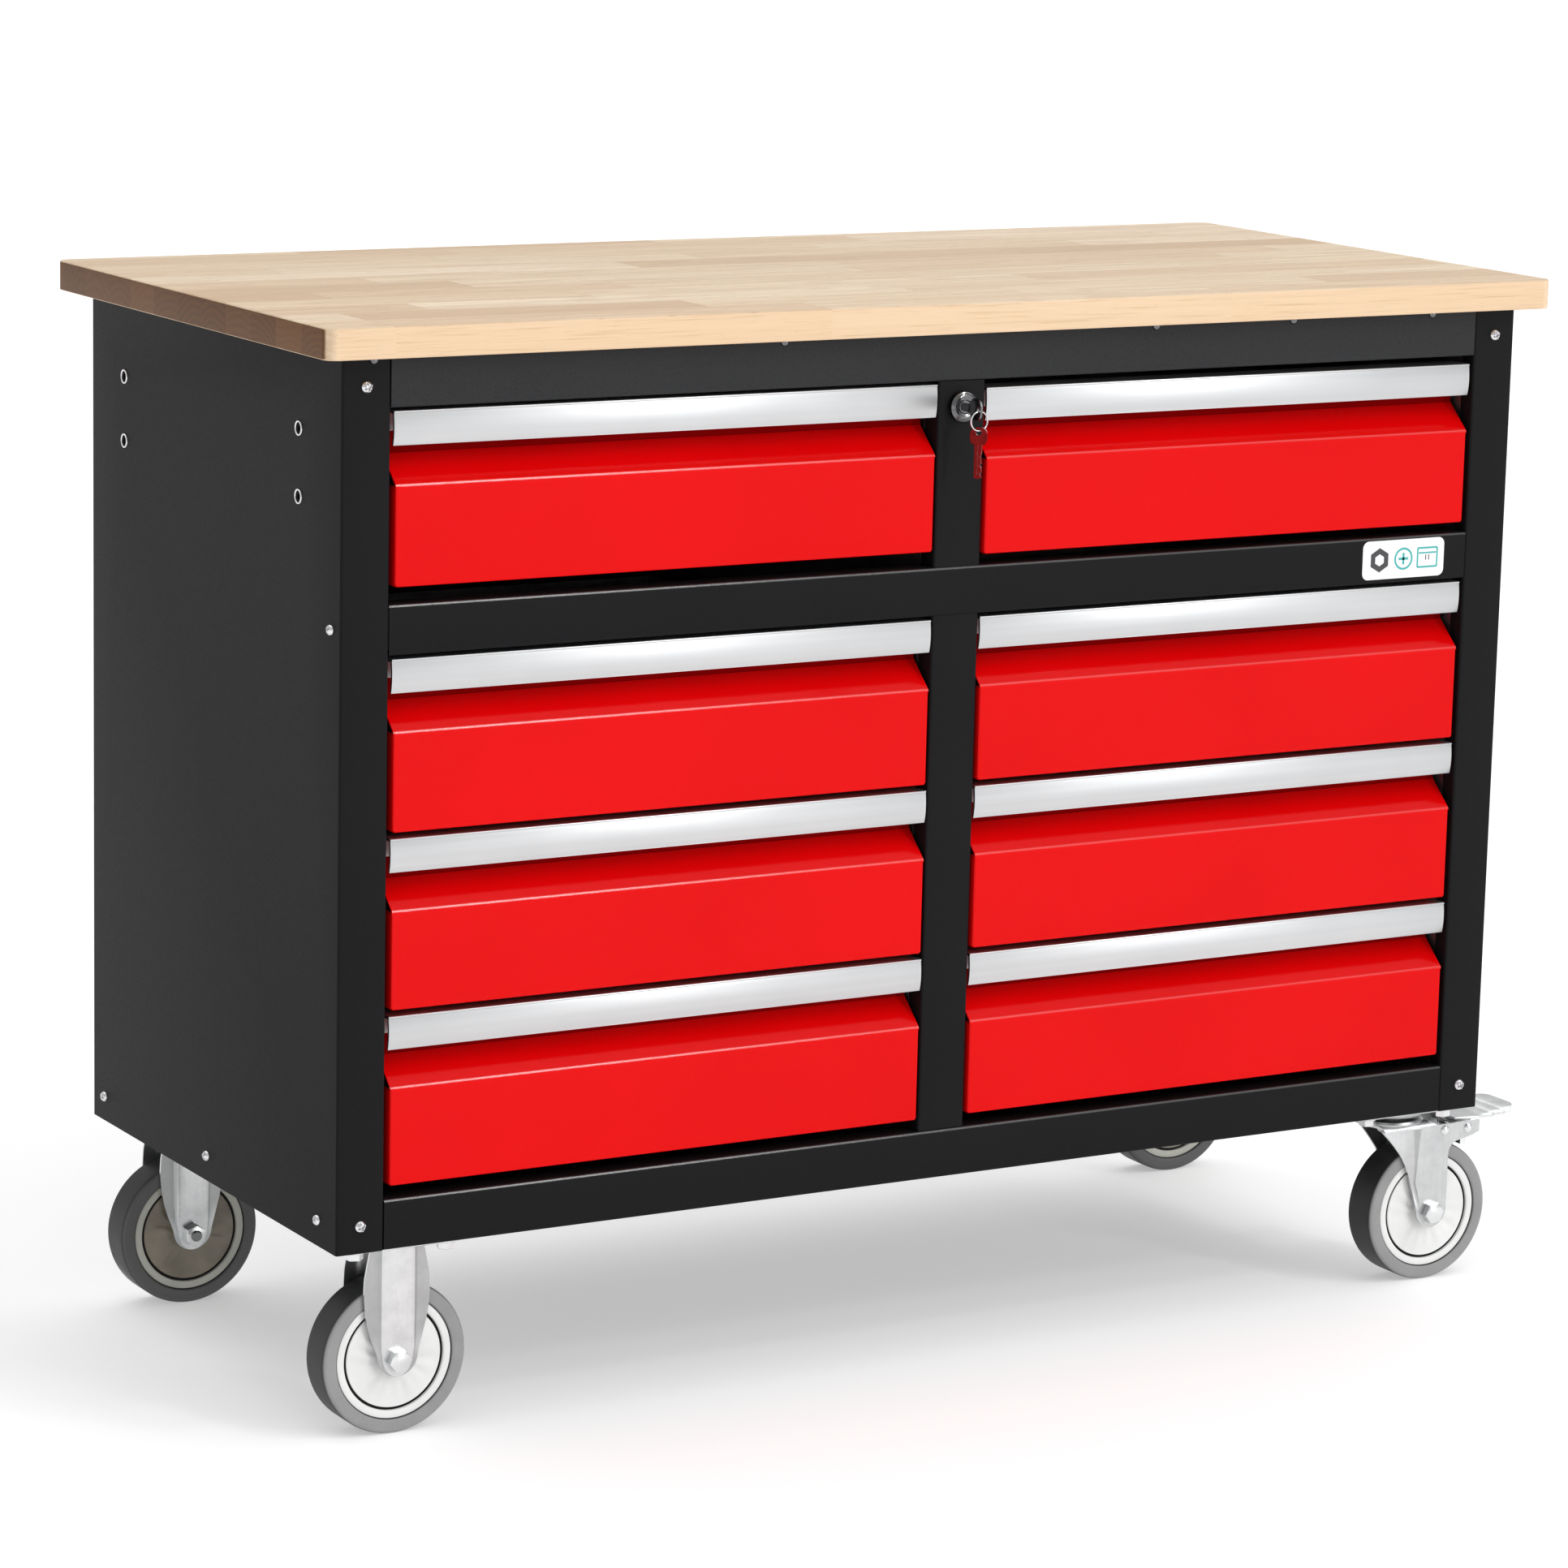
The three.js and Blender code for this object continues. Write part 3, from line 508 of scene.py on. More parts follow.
def laminated_wood():
    """Finger-jointed staves along X: each has its own tone, grain lines, pores and end grain; the ends are
    painted darker still, painted shade.
    """
    n = Nodes("laminated_wood", Specular_IOR_Level=0.16)
    x, y, z = n.node("ShaderNodeSeparateXYZ", Vector=n.coordinates).outputs
    row_place = n.math("DIVIDE", n.math("SUBTRACT", y, BOARD_LOW.y * MM), STAVE_WIDTH)
    row = n.math("FLOOR", row_place)
    row_share = n.node("ShaderNodeTexWhiteNoise", {"noise_dimensions": "1D"}, W=row).outputs["Value"]
    length = n.remap(row_share, 0.0, 1.0, 0.27, 0.46)
    shift = n.math("MULTIPLY", n.math("ADD", row_share, row), 0.713)
    stave_place = n.math("ADD", n.math("DIVIDE", x, length), shift)
    ident = n.node("ShaderNodeCombineXYZ", X=row, Y=n.math("FLOOR", stave_place)).outputs[0]
    own = n.node("ShaderNodeTexWhiteNoise", {"noise_dimensions": "3D"}, Vector=ident)
    tone, turn, lift = n.node("ShaderNodeSeparateColor", Color=own.outputs["Color"]).outputs

    # Every stave is a piece of a different log: its own shift along the grain and its own rings.
    jump = n.node("ShaderNodeCombineXYZ", X=n.math("MULTIPLY", tone, 9.0), Y=n.math("MULTIPLY", turn, 5.0))
    moved = n.node("ShaderNodeVectorMath", {"operation": "ADD"})
    n.feed(moved.inputs[0], n.coordinates)
    n.feed(moved.inputs[1], jump.outputs[0])
    solid = moved.outputs[0]
    wander = n.noise((2.2, 9, 9), source=solid)
    streaks = n.noise((5, 210, 210), 4.0, 0.55, solid)
    fine = n.noise((26, 1500, 1500), 3.0, 0.6, solid)
    ring_y = n.math("MULTIPLY", n.math("SUBTRACT", n.math("FRACT", row_place), turn), STAVE_WIDTH)
    ring_z = n.math("ADD", n.math("SUBTRACT", z, BOARD_LOW.z * MM), n.math("MULTIPLY", lift, 0.05))
    radius = n.math("SQRT", n.math("ADD", n.math("POWER", ring_y, 2.0), n.math("POWER", ring_z, 2.0)))
    bent = n.math("ADD", n.math("MULTIPLY", radius, 150.0), n.math("MULTIPLY", wander, 9.0))
    rings = n.math("SINE", n.math("MULTIPLY", bent, 2 * pi))

    base = n.ramp(
        tone,
        (0.0, (0.62, 0.455, 0.305)),
        (0.25, (0.73, 0.565, 0.395)),
        (0.6, (0.80, 0.655, 0.48)),
        (1.0, (0.87, 0.735, 0.57)),
    )
    warm = n.blend(streaks, 0.35, 0.72, base, (0.55, 0.37, 0.225), 0.62)
    ringed = n.mix(n.math("MULTIPLY", n.remap(rings, -0.2, 1.0), 0.22), warm, (0.52, 0.34, 0.20))
    pores = n.remap(n.noise((75, 950, 950), source=solid), 0.62, 0.72)
    pored = n.mix(n.math("MULTIPLY", pores, 0.55), ringed, (0.30, 0.17, 0.09))
    fibred = n.blend(fine, 0.3, 0.7, pored, (0.52, 0.37, 0.24), 0.18)

    # Dark glue lines between the staves, a lighter, yellower tone on the long edges, end grain on the two
    # ends painted darker still: painted shade.
    from_row = n.math("ABSOLUTE", n.math("SUBTRACT", n.math("FRACT", row_place), 0.5))
    from_joint = n.math("ABSOLUTE", n.math("SUBTRACT", n.math("FRACT", stave_place), 0.5))
    glue = n.math("MAXIMUM", n.remap(from_row, 0.494, 0.499), n.remap(from_joint, 0.4985, 0.4996))
    glued = n.mix(n.math("MULTIPLY", glue, 0.4), fibred, (0.42, 0.26, 0.15))
    flecks = n.remap(n.noise((16, 420, 700), 3.0, source=solid), 0.54, 0.72)
    long_edge_tone = n.mix(n.math("MULTIPLY", flecks, 0.5), (0.87, 0.64, 0.42), (0.52, 0.31, 0.15))
    # The ends: dark end grain, painted darker still: painted shade.
    end_rings = n.blend(rings, -0.6, 0.9, (0.118, 0.046, 0.011), (0.072, 0.027, 0.007), 0.55)
    end_tone = n.mix(n.math("MULTIPLY", tone, 0.5), end_rings, (0.195, 0.084, 0.024))
    end_grain_and_shade = n.blend(n.noise((900, 1500, 1500)), 0.5, 0.75, end_tone, (0.058, 0.023, 0.006), 0.5)
    across, along_y, _ = n.node("ShaderNodeSeparateXYZ", Vector=n.normal).outputs
    sides = n.blend(n.math("ABSOLUTE", along_y), 0.75, 0.97, glued, long_edge_tone, 0.62)
    color = n.blend(n.math("ABSOLUTE", across), 0.86, 0.95, sides, end_grain_and_shade)
    relief = n.math("SUBTRACT", n.math("MULTIPLY", fine, 0.4), n.math("ADD", pores, glue))
    return n.finish(color, n.remap(fine, 0.25, 0.75, 0.36, 0.5), relief, 0.00008, 0.45)


BLACK_TONES = (0.0042, 0.0042, 0.0048), (0.0080, 0.0080, 0.0092)
BLACK = powder_coat("black_powder_coat", *BLACK_TONES, 0.11)
# A lighter copy of the black coat for the top rail: painted light.
BLACK_RAIL_LIT = powder_coat("black_powder_coat_rail_painted_light", (0.011, 0.0115, 0.0125), (0.026, 0.027, 0.029), 0.22)
BLACK_BEND = powder_coat("black_powder_coat_bend", *BLACK_TONES, 0.11, 0.9)
# Near-black for the rivet nut bores and the hub grooves: painted shade.
SHADE_BLACK = powder_coat("painted_shade_black", (0.004,) * 3, (0.008,) * 3, 0.1)
RED = red_paint("red_paint", 0.22, 0.12)
RED_BEND = red_paint("red_paint_bend", 1.0, 0.14)  # the coat flows out glossy over a bend
RED_SHADED = red_paint("red_paint_painted_shade", 0.0, 0.12, 0.34)  # red darkened behind the grip: painted shade
ALUMINIUM = aluminium()
ZINC = zinc("zinc_plate", 0.98, 0.24)
# A brighter copy of the zinc for the fixed legs: painted light.
ZINC_LIT = zinc("zinc_leg_painted_light", 1.22, 0.22)
ZINC_BRIGHT = zinc("zinc_bolts", 1.38, 0.16)
# A dark copy of the zinc for the thread ends: painted shade.
ZINC_THREAD_SHADED = zinc("zinc_thread_painted_shade", 0.34, 0.26)
ZINC_SHADED = zinc("zinc_painted_shade", 0.76, 0.30)  # darker, duller zinc on the leg flanks and the fork's crease: painted shade
GALVANISED = galvanised()
CHROME = chrome("chrome_plate", (0.74, 0.74, 0.76), (0.62, 0.61, 0.60))
# A darkened copy of the chrome for the lock, the keys and the screws under the worktop's edge: painted dark
# reflection.
CHROME_PAINTED_DARK = chrome("lock_chrome", (0.17, 0.17, 0.175), (0.10, 0.10, 0.105))
KEY_STEEL = chrome("key_steel", (0.16, 0.009, 0.009), (0.11, 0.007, 0.007))
RUBBER = tyre_rubber("grey_rubber", 1.0)
RUBBER_INNER_SHADED = tyre_rubber("grey_rubber_painted_shade", 0.32)  # the sides facing under the cabinet are painted darker: painted shade
PLASTIC = grey_plastic("grey_plastic", (0.72, 0.73, 0.72), (0.79, 0.80, 0.79), (0.66, 0.67, 0.66))
# Darker copies of the hub plastic for the sides facing under the cabinet: painted shade.
PLASTIC_RIM_SHADED = grey_plastic(
    "grey_plastic_rim_painted_shade", (0.38, 0.38, 0.34), (0.46, 0.46, 0.41), (0.30, 0.29, 0.26)
)
PLASTIC_SHADED = grey_plastic(
    "grey_plastic_painted_shade", (0.15, 0.13, 0.10), (0.25, 0.22, 0.17), (0.11, 0.095, 0.075)
)
WOOD = laminated_wood()
WHITE_FILM = vinyl("white_film", (0.86, 0.87, 0.88))
TEAL_FILM = vinyl("teal_film", (0.05, 0.42, 0.40))
GREY_FILM = vinyl("grey_film", (0.05, 0.05, 0.055))

# ---- worktop


def worktop():
    """Board with round vertical corners and a small rounding along its top and bottom edges."""
    corner = 12
    top = 1.6
    bottom = 1.0
    half_x = (BOARD_HIGH.x - BOARD_LOW.x) / 2
    half_y = (BOARD_HIGH.y - BOARD_LOW.y) / 2
    levels = arc(bottom, BOARD_LOW.z + bottom, bottom, 270, 180, 3)
    levels += arc(top, BOARD_HIGH.z - top, top, 180, 90, 4)
    made = Builder(Matrix.Translation((CENTRE_X, CENTRE_Y, 0)))
    made.stack([
        (rounded_rectangle(half_x - inset, half_y - inset, corner - inset, 10), z) for inset, z in levels
    ])
    made.replace("worktop", "worktop_board", [WOOD])


# ---- cabinet shell

SIDE_WALLS = {"left": (CABINET_LEFT, (-1, 0, 0)), "right": (CABINET_RIGHT, (1, 0, 0))}
RIVET_NUT_PLACES = [(y, z) for y in (173.5, -165.5) for z in (801, 748)]
SIDE_SCREW_PLACES = [(-207.4, 181), (5, 181), (217.4, 181), (-224.7, 653)]


def cut_holes(piece, points, direction, radius, depth):
    """Cuts round holes through a piece at points."""
    made = Builder()
    for point in points:
        made.at(facing(point, direction))
        made.stack([(arc(0, 0, radius, 0, 345, 23), z) for z in (-depth, depth)])
    cutter = made.shape("hole_tool")
    boolean = piece.modifiers.new("holes", "BOOLEAN")
    boolean.operation = "DIFFERENCE"
    boolean.solver = "EXACT"
    boolean.object = cutter
    depsgraph = bpy.context.evaluated_depsgraph_get()
    cut = bpy.data.meshes.new_from_object(piece.evaluated_get(depsgraph))
    piece.modifiers.remove(boolean)
    piece.data = cut
    bpy.data.objects.remove(cutter)
    cut.set_sharp_from_angle(angle=radians(35))


def side_panel(side):
    """Side wall with its front post and rear flange, folded from one sheet."""
    path = [
        (CABINET_LEFT + 20, BACK),
        (CABINET_LEFT, BACK),
        (CABINET_LEFT, FRONT),
        (OPENING_LEFT, FRONT),
        (OPENING_LEFT, FRONT + 16),
    ]
    made = Builder()
    made.sheet(path, (CABINET_BOTTOM, CABINET_TOP), "z", None if side == "left" else 2 * CENTRE_X)
    piece = made.replace(f"side_panel_{side}", f"side_shell_{side}", [BLACK], angle=40)
    outside, outward = SIDE_WALLS[side]
    cut_holes(piece, [(outside, CENTRE_Y + y, z) for y, z in RIVET_NUT_PLACES], outward, 4.7, 4)


def rail(node, material):
    """Front rail: a channel open to the back, with a glossy upper bend. The post crosses the middle one."""
    low, high = cad(node)
    path = [(high.y, high.z), (low.y, high.z), (low.y, low.z), (high.y, low.z)]
    made = Builder()
    if node == "mid_rail":
        post_low, post_high = cad("centre_post")
        made.sheet(path, (low.x, post_low.x), "x")
        made.sheet(path, (post_high.x, high.x), "x")
        bend = BEND + SHEET
        reach = degrees(acos(BEND / bend))
        face = arc(low.y + bend, high.z - bend, bend, 180 - reach, 180, 5)
        face += arc(low.y + bend, low.z + bend, bend, 180, 180 + reach, 5)
        made.extrude(face, (post_low.x, post_high.x), "x")
    else:
        made.sheet(path, (low.x, high.x), "x")

    def on_upper_bend(place):
        from_bend = hypot(place.y - low.y - BEND, place.z - high.z + BEND)
        return from_bend < 2.3 and place.z > high.z - 2.1

    made.shade(1, on_upper_bend)
    made.replace(node, f"front_{node}", [material, BLACK_BEND], angle=40)


def centre_post():
    low, high = cad("centre_post")
    made = Builder()
    made.sheet([(low.x, high.y), (low.x, low.y), (high.x, low.y), (high.x, high.y)], (low.z, high.z), "z")
    made.replace("centre_post", "centre_post_shell", [BLACK], angle=40)


# ---- drawers


def drawer_front(name):
    """Painted front: returns at both sides and below, a fold, a slope and the recess wall."""
    low, high = cad(f"drawer_front_{name}")
    fold = low.z + 79
    seam = fold - 2
    slope_back = low.y + 24.5
    slope_top = low.z + 101
    return_back = low.y + 15
    tight = 0.3
    corner = tight + SHEET
    lap = 0.01
    made = Builder()
    upper = [(slope_back, high.z), (slope_back, slope_top), (low.y, fold), (low.y, seam)]
    made.sheet(upper, (low.x, high.x), "x", inside=1.4, steps=8)
    lower = [(low.y, seam), (low.y, low.z), (low.y + 22, low.z)]
    made.sheet(lower, (low.x + corner, high.x - corner), "x", inside=tight)
    side = [(low.x, return_back), (low.x, low.y), (low.x + corner + lap, low.y)]
    for flip in (None, low.x + high.x):
        made.sheet(side, (low.z + corner, seam), "z", flip, inside=tight)
    for x in (low.x, high.x - SHEET):
        made.box((x, low.y + 0.9 * SHEET, seam - 0.5), (x + SHEET, return_back, fold - 1.2))
    made.shade(1, lambda place: abs(place.z - fold) < 1.1)
    # Behind the grip the red is darkened: painted shade.
    made.shade(2, lambda place: place.z > slope_top - 1.5)
    made.replace(f"drawer_front_{name}", f"front_face_{name}", [RED, RED_BEND, RED_SHADED], angle=40)


def handle_outline(low, high):
    """Section of the grip in Y and Z: web, small step, bowed lip and fixing flange."""
    front = low.y
    top = high.z
    wall = 2.2
    height = high.z - low.z
    steps = 14
    shares = [i / steps for i in range(steps + 1)]

    def bowed(t):
        """How far the face lies behind its foremost line, t from top to bottom."""
        return 1.5 * (1 - t) ** 2.2 + 2.4 * t**2.6

    points = [(high.y, top), (front + 1.9, top)]
    points += arc(front + 1.9, top - 0.9, 0.9, 90, 180, 4)
    points += [(front + 1.1, top - 1.5), (front + 1.6, top - 1.9)]
    points += [(front + bowed(t), top - 2.3 - t * (height - 2.9)) for t in shares]
    points += arc(front + bowed(1) + 0.55, low.z + 0.6, 0.6, 190, 330, 4)
    points += [(front + bowed(t) + wall, top - wall - 0.6 - t * (height - 5)) for t in reversed(shares)]
    points += [(front + wall + 2.1, top - wall)]
    flange = high.y - SHEET - 0.3
    points += [(flange - wall, top - wall), (flange - wall, top - 18)]
    points += [(flange, top - 18), (flange, top - wall), (high.y, top - wall)]
    return points


def drawer_handle(name):
    low, high = cad(f"drawer_handle_{name}")
    outline = handle_outline(low, high)
    middle_y = sum(y for y, _ in outline) / len(outline)
    edge = 0.25
    rings = []
    for x, inset in [(low.x, edge), (low.x + edge, 0), (high.x - edge, 0), (high.x, edge)]:
        rings.append([(x, y + (inset if y < middle_y else -inset) * 0.5, z) for y, z in outline])
    made = Builder()
    made.rings(rings)
    made.replace(f"drawer_handle_{name}", f"grip_{name}", [ALUMINIUM], angle=30)


def drawer_tray(name):
    """Open tray: hemmed side walls, a floor with two pressed beads, end walls and slide ribs."""
    low, high = cad(f"drawer_box_{name}")
    sheet = 1.0
    rib = 10.5
    rib_half = 10.3
    rib_middle = low.z + 54
    hem_width = sheet + 0.6
    hem_bottom = high.z - 5
    left = low.x + rib
    right = high.x - rib
    section = [
        (left + hem_width, hem_bottom),
        (left + hem_width, high.z),
        (left, high.z),
        (left, low.z),
        (right, low.z),
        (right, high.z),
        (right - hem_width, high.z),
        (right - hem_width, hem_bottom),
    ]
    made = Builder()
    made.sheet(section, (low.y, high.y), "y", inside=0.25, thickness=0.55 * sheet, steps=3)
    for y in (low.y, high.y - sheet):
        made.box((left + sheet, y, low.z + sheet), (right - sheet, y + sheet, high.z - 3))
    made.box((left + 0.5, low.y, low.z + 0.4), (right - 0.5, high.y, low.z + sheet))
    bead = arc(0, 0, 4, 180, 0, 8)
    for share in (0.33, 0.67):
        bead_y = low.y + (high.y - low.y) * share
        rings = []
        for x, scale in ((left + 30, 0.15), (left + 34, 1), (right - 34, 1), (right - 30, 0.15)):
            rings.append([(x, bead_y + u * scale, low.z + sheet + w * 0.5 * scale) for u, w in bead])
        made.rings(rings)
    upper = rib_middle + rib_half
    lower = rib_middle - rib_half
    for flip in (None, low.x + high.x):
        path = [(left, upper), (low.x, upper), (low.x, lower), (left, lower)]
        made.sheet(path, (low.y + 4, high.y), "y", flip)
    made.replace(f"drawer_box_{name}", f"tray_{name}", [GALVANISED], angle=40)


# ---- fasteners


def dome_screw(made, matrix, radius, height, cross=True):
    """Domed head with a pressed cross recess, standing along local Z."""
    made.at(matrix)
    segments = 48
    levels = 12
    rings = []
    for level in range(levels):
        share = 1 - level / levels
        ring = []
        for i in range(segments):
            angle = 2 * pi * i / segments
            x = radius * share * cos(angle)
            y = radius * share * sin(angle)
            z = height * (1 - share**2.6) + (0.25 * height if level else 0)
            if cross:
                near = min(abs(x), abs(y)) / (0.15 * radius)
                far = max(abs(x), abs(y)) / (0.62 * radius)
                z -= 0.75 * height * smooth((1.15 - max(near, far)) / 0.3)
            ring.append((x, y, z))
        rings.append(ring)
    skirt = [(x, y, -0.4) for x, y, _ in rings[0]]
    made.rings([skirt] + rings)


def hexagon_head(made, matrix, flats, height, chamfer=0.9):
    made.at(matrix)
    corner = flats / sqrt(3)
    outline = arc(0, 0, corner, 0, 300, 5)
    shrunk = arc(0, 0, corner - chamfer, 0, 300, 5)
    made.stack([(outline, 0), (outline, height - 0.45 * chamfer), (shrunk, height)])


def washer(made, matrix, radius, height):
    made.at(matrix)
    made.turned([(0, 0), (radius, 0), (radius, height - 0.2), (radius - 0.2, height), (0, height)], 28)


def threads(made, matrix, radius, length, pitch=1.25):
    """The visible end of a bolt, its thread as close rings."""
    made.at(matrix)
    profile = [(0, 0), (radius, 0)]
    for turn in range(int(length / pitch)):
        z = (turn + 0.25) * pitch
        profile += [(radius, z), (radius - 0.55, z + pitch / 2)]
    top = profile[-1][1] + 0.4
    profile += [(radius - 0.6, top), (radius - 1.2, top + 0.4), (0, top + 0.4)]
    made.turned(profile, 24)


def screw_set(name, material, *groups):
    """One piece from groups of equal screws: (matrices, radius, height, cross)."""
    made = Builder()
    for matrices, radius, height, cross in groups:
        for matrix in matrices:
            dome_screw(made, matrix, radius, height, cross)
    made.piece(name, "cabinet", "zinc_plate", [material], angle=50)


def cabinet_screws():
    """Domed screws on both front posts, under the worktop, on the sides and on the back."""
    forward = (0, -1, 0)
    backward = (0, 1, 0)
    post_middle = 20.5
    flange_middle = 10
    on_posts = [
        facing((x, FRONT, z), forward, 20)
        for x in (CABINET_LEFT + post_middle, CABINET_RIGHT - post_middle)
        for z in (841, 182)
    ]
    under_board = [
        facing((CENTRE_X + x, FRONT, CABINET_TOP - 2.9), forward, 10) for x in (-525.5, -167, 185, 322, 465)
    ]
    on_sides = [
        facing((x, CENTRE_Y + y, z), outward, 17 + 31 * turn)
        for x, outward in SIDE_WALLS.values()
        for turn, (y, z) in enumerate(SIDE_SCREW_PLACES)
    ]
    back_low, back_high = cad("back_panel")
    on_back_panel = [
        facing((CENTRE_X + x, back_high.y, z), backward, 25)
        for x in (-360, -120, 120, 360)
        for z in (back_low.z + 18, back_high.z - 18)
    ]
    on_flanges = [
        facing((x, BACK, z), backward, 40)
        for x in (CABINET_LEFT + flange_middle, CABINET_RIGHT - flange_middle)
        for z in (200, 420, 620, 830)
    ]
    screw_set("front_screws", CHROME, (on_posts, 5.2, 3.4, True))
    screw_set("edge_screws", CHROME_PAINTED_DARK, (under_board, 3.6, 2.2, False))
    screw_set("side_screws", CHROME, (on_sides, 4.6, 3.0, True))
    screw_set("back_screws", CHROME, (on_back_panel, 4.6, 1.1, False), (on_flanges, 4.2, 2.4, True))


def rivet_nuts():
    """Flanged threaded inserts on both sides, for accessories."""
    rim = [(6.1, 0), (6.1, 0.7), (5.8, 1.1), (5.0, 1.1), (4.6, 0.7), (4.6, 0)]
    bore = [(4.62, 0.3), (3.5, -0.2)]
    for turn in range(8):
        bore += [(3.0, -turn - 0.4), (3.5, -turn - 0.9)]
    bore += [(3.4, -9.2), (4.62, -9.2)]
    made = Builder()
    for x, outward in SIDE_WALLS.values():
        for y, z in RIVET_NUT_PLACES:
            made.at(facing((x, CENTRE_Y + y, z), outward))
            made.material = 0
            made.turned(rim, 36)
            # The bore is near-black: painted shade.
            made.material = 1
            made.turned(bore, 36)
    made.piece("rivet_nuts", "cabinet", "zinc_plate", [CHROME, SHADE_BLACK], angle=40)


# ---- casters

AXLE_RADIUS = 5
WHEEL_RADIUS = 62.5
WHEEL_HALF = 17.0  # half the width of a wheel
LEG_OUTER = 22.2  # from the wheel's middle to the outer face of a leg
LEG_SHEET = 2.0
FORK_SHEET = 2.4
LEG_TIP = 1.2  # half the width of a leg's lowest line

# Half widths and edges at rising heights, as (height, width) pairs.
FIXED_LEG = [
    (66, 17.5), (80, 22.3), (92, 25.8), (104, 28.0),
    (116, 28.9), (130, 28.2), (144, 25.6), (157, 22.8),
]
FORK_LEFT = [
    (64.5, 19.0), (80, 15.8), (96.6, 10.8), (106, 6.6),
    (115.5, 1.4), (125, -5.8), (133, -12.5), (141, -19.5),
]
FORK_RIGHT = [
    (64.5, 51.0), (114, 51.0), (119, 52.2), (122.5, 55.0), (125, 60.0),
    (126.6, 68.0), (128, 77.0), (129.5, 84.0), (141, 84.0),
]

# How far a leg's outer face lies back: mm over the fixed leg's middle and its flank, and a share of the
# full depth over the fork's flank, each at shares of that part's width from the inside out.
LEG_MIDDLE = [(0, -0.9), (0.35, -0.84), (0.6, -0.62), (0.8, -0.32), (1, 0.1)]
LEG_FLANK = [(0.06, 0.5), (0.15, 1.35), (0.24, 1.55), (0.6, 2.0), (1, 2.4)]
FORK_FLANK = [(1, 1), (0.84, 1), (0.66, 0.97), (0.48, 0.88), (0.32, 0.7), (0.18, 0.45), (0.08, 0.21), (0, 0)]


def upright(node):
    """A matrix that puts local X and Y in the middle of a node, at the floor's height."""
    middle = cad_middle(node)
    return Matrix.Translation((middle.x, middle.y, 0))


def mounting_plate(node):
    """Builders with the rounded plate and with the four hexagon bolts under it, and the plate's top."""
    top = cad(node)[1].z
    made = Builder(upright(node))
    outline = rounded_rectangle(52.5, 33, 8)
    shrunk = rounded_rectangle(52.1, 32.6, 7.6)
    made.stack([(shrunk, top - 3.0), (outline, top - 2.6), (outline, top - 0.4), (shrunk, top)])
    bolts = Builder()
    down = Vector((0, 0, -1))
    for sx in (-1, 1):
        for sy in (-1, 1):
            seat = upright(node) @ Vector((sx * 40, sy * 24, top - 3.0))
            washer(bolts, facing(seat, down), 7.6, 1.3)
            hexagon_head(bolts, facing(seat + 1.3 * down, down, 13 * (sx + 2 * sy)), 13, 5.3)
    return made, bolts, top


def leg_rows(bottom, top, count):
    """Heights down a leg, closer together at its round end."""
    return [bottom + (top - bottom) * (i / count) ** 1.7 for i in range(count + 1)]


def round_end(radius, below):
    """Half the width of a leg's round end at a depth below its centre."""
    return sqrt(max(radius**2 - below**2, LEG_TIP**2))


def fixed_leg(made, side):
    """Bulged leg with a proud, slightly crowned middle; its flanks are pressed back."""
    round_centre = 66
    round_radius = 17.5
    grid = []
    for z in leg_rows(round_centre - round_radius, 157, 40):
        half = round_end(round_radius, round_centre - z) if z < round_centre else along(FIXED_LEG, z)
        crease = min(14.5, half * 0.76)
        flank = half - crease
        fade = smooth((z - 62) / 26)
        right = [(crease * share, drop) for share, drop in LEG_MIDDLE]
        right += [(crease + flank * share, drop) for share, drop in LEG_FLANK]
        section = [(-x, drop) for x, drop in reversed(right[1:])] + right
        grid.append([(x, side * (LEG_OUTER - fade * drop), z) for x, drop in section])
    middle = len(grid[0]) // 2
    # The flanks take the darkened zinc: painted shade.
    pressed = [c for c in range(2 * middle) if c < middle - 4 or c >= middle + 4]
    made.thick_grid(grid, (0, -side * LEG_SHEET, 0), pressed)


def fixed_bracket(end):
    node = f"fixed_caster_bracket_{end}"
    made, bolts, top = mounting_plate(node)
    for side in (-1, 1):
        fixed_leg(made, side)
    made.box((-22, -LEG_OUTER + 1, top - 6), (22, LEG_OUTER - 1, top - 2.9))
    # The legs take the brightened zinc: painted light. Their flanks take the darkened zinc: painted shade.
    made.replace(node, f"fixed_bracket_{end}", [ZINC_LIT, ZINC_SHADED], edge=0.55, angle=30)
    bolts.piece(f"fixed_plate_bolts_{end}", "cabinet", "zinc_plate", [ZINC_BRIGHT], edge=0.3, angle=30)


def wheel_bolt(kind, end):
    """Hexagon bolt through the wheel, with its nut and thread on the far side."""
    middle = cad_middle(f"{kind}_caster_tyre_{end}")
    outward = Vector((0, -1 if end == "front" else 1, 0))
    seat = LEG_OUTER + 0.2
    nut = middle - outward * seat
    made = Builder(facing(middle - Vector((0, seat, 0)), (0, 1, 0)))
    made.turned([(0, 0), (AXLE_RADIUS, 0), (AXLE_RADIUS, 2 * seat), (0, 2 * seat)], 24)
    hexagon_head(made, facing(middle + outward * seat, outward, 8), 17, 6.4, 1.4)
    hexagon_head(made, facing(nut, -outward, 24), 17, 7.6, 1.2)
    # The thread end takes the darkened zinc: painted shade.
    made.material = 1
    threads(made, facing(nut - outward * 7.0, -outward), AXLE_RADIUS, 3.4)
    zincs = [ZINC_BRIGHT, ZINC_THREAD_SHADED]
    made.replace(f"{kind}_caster_axle_{end}", f"{kind}_wheel_bolt_{end}", zincs, edge=0.45, angle=30)


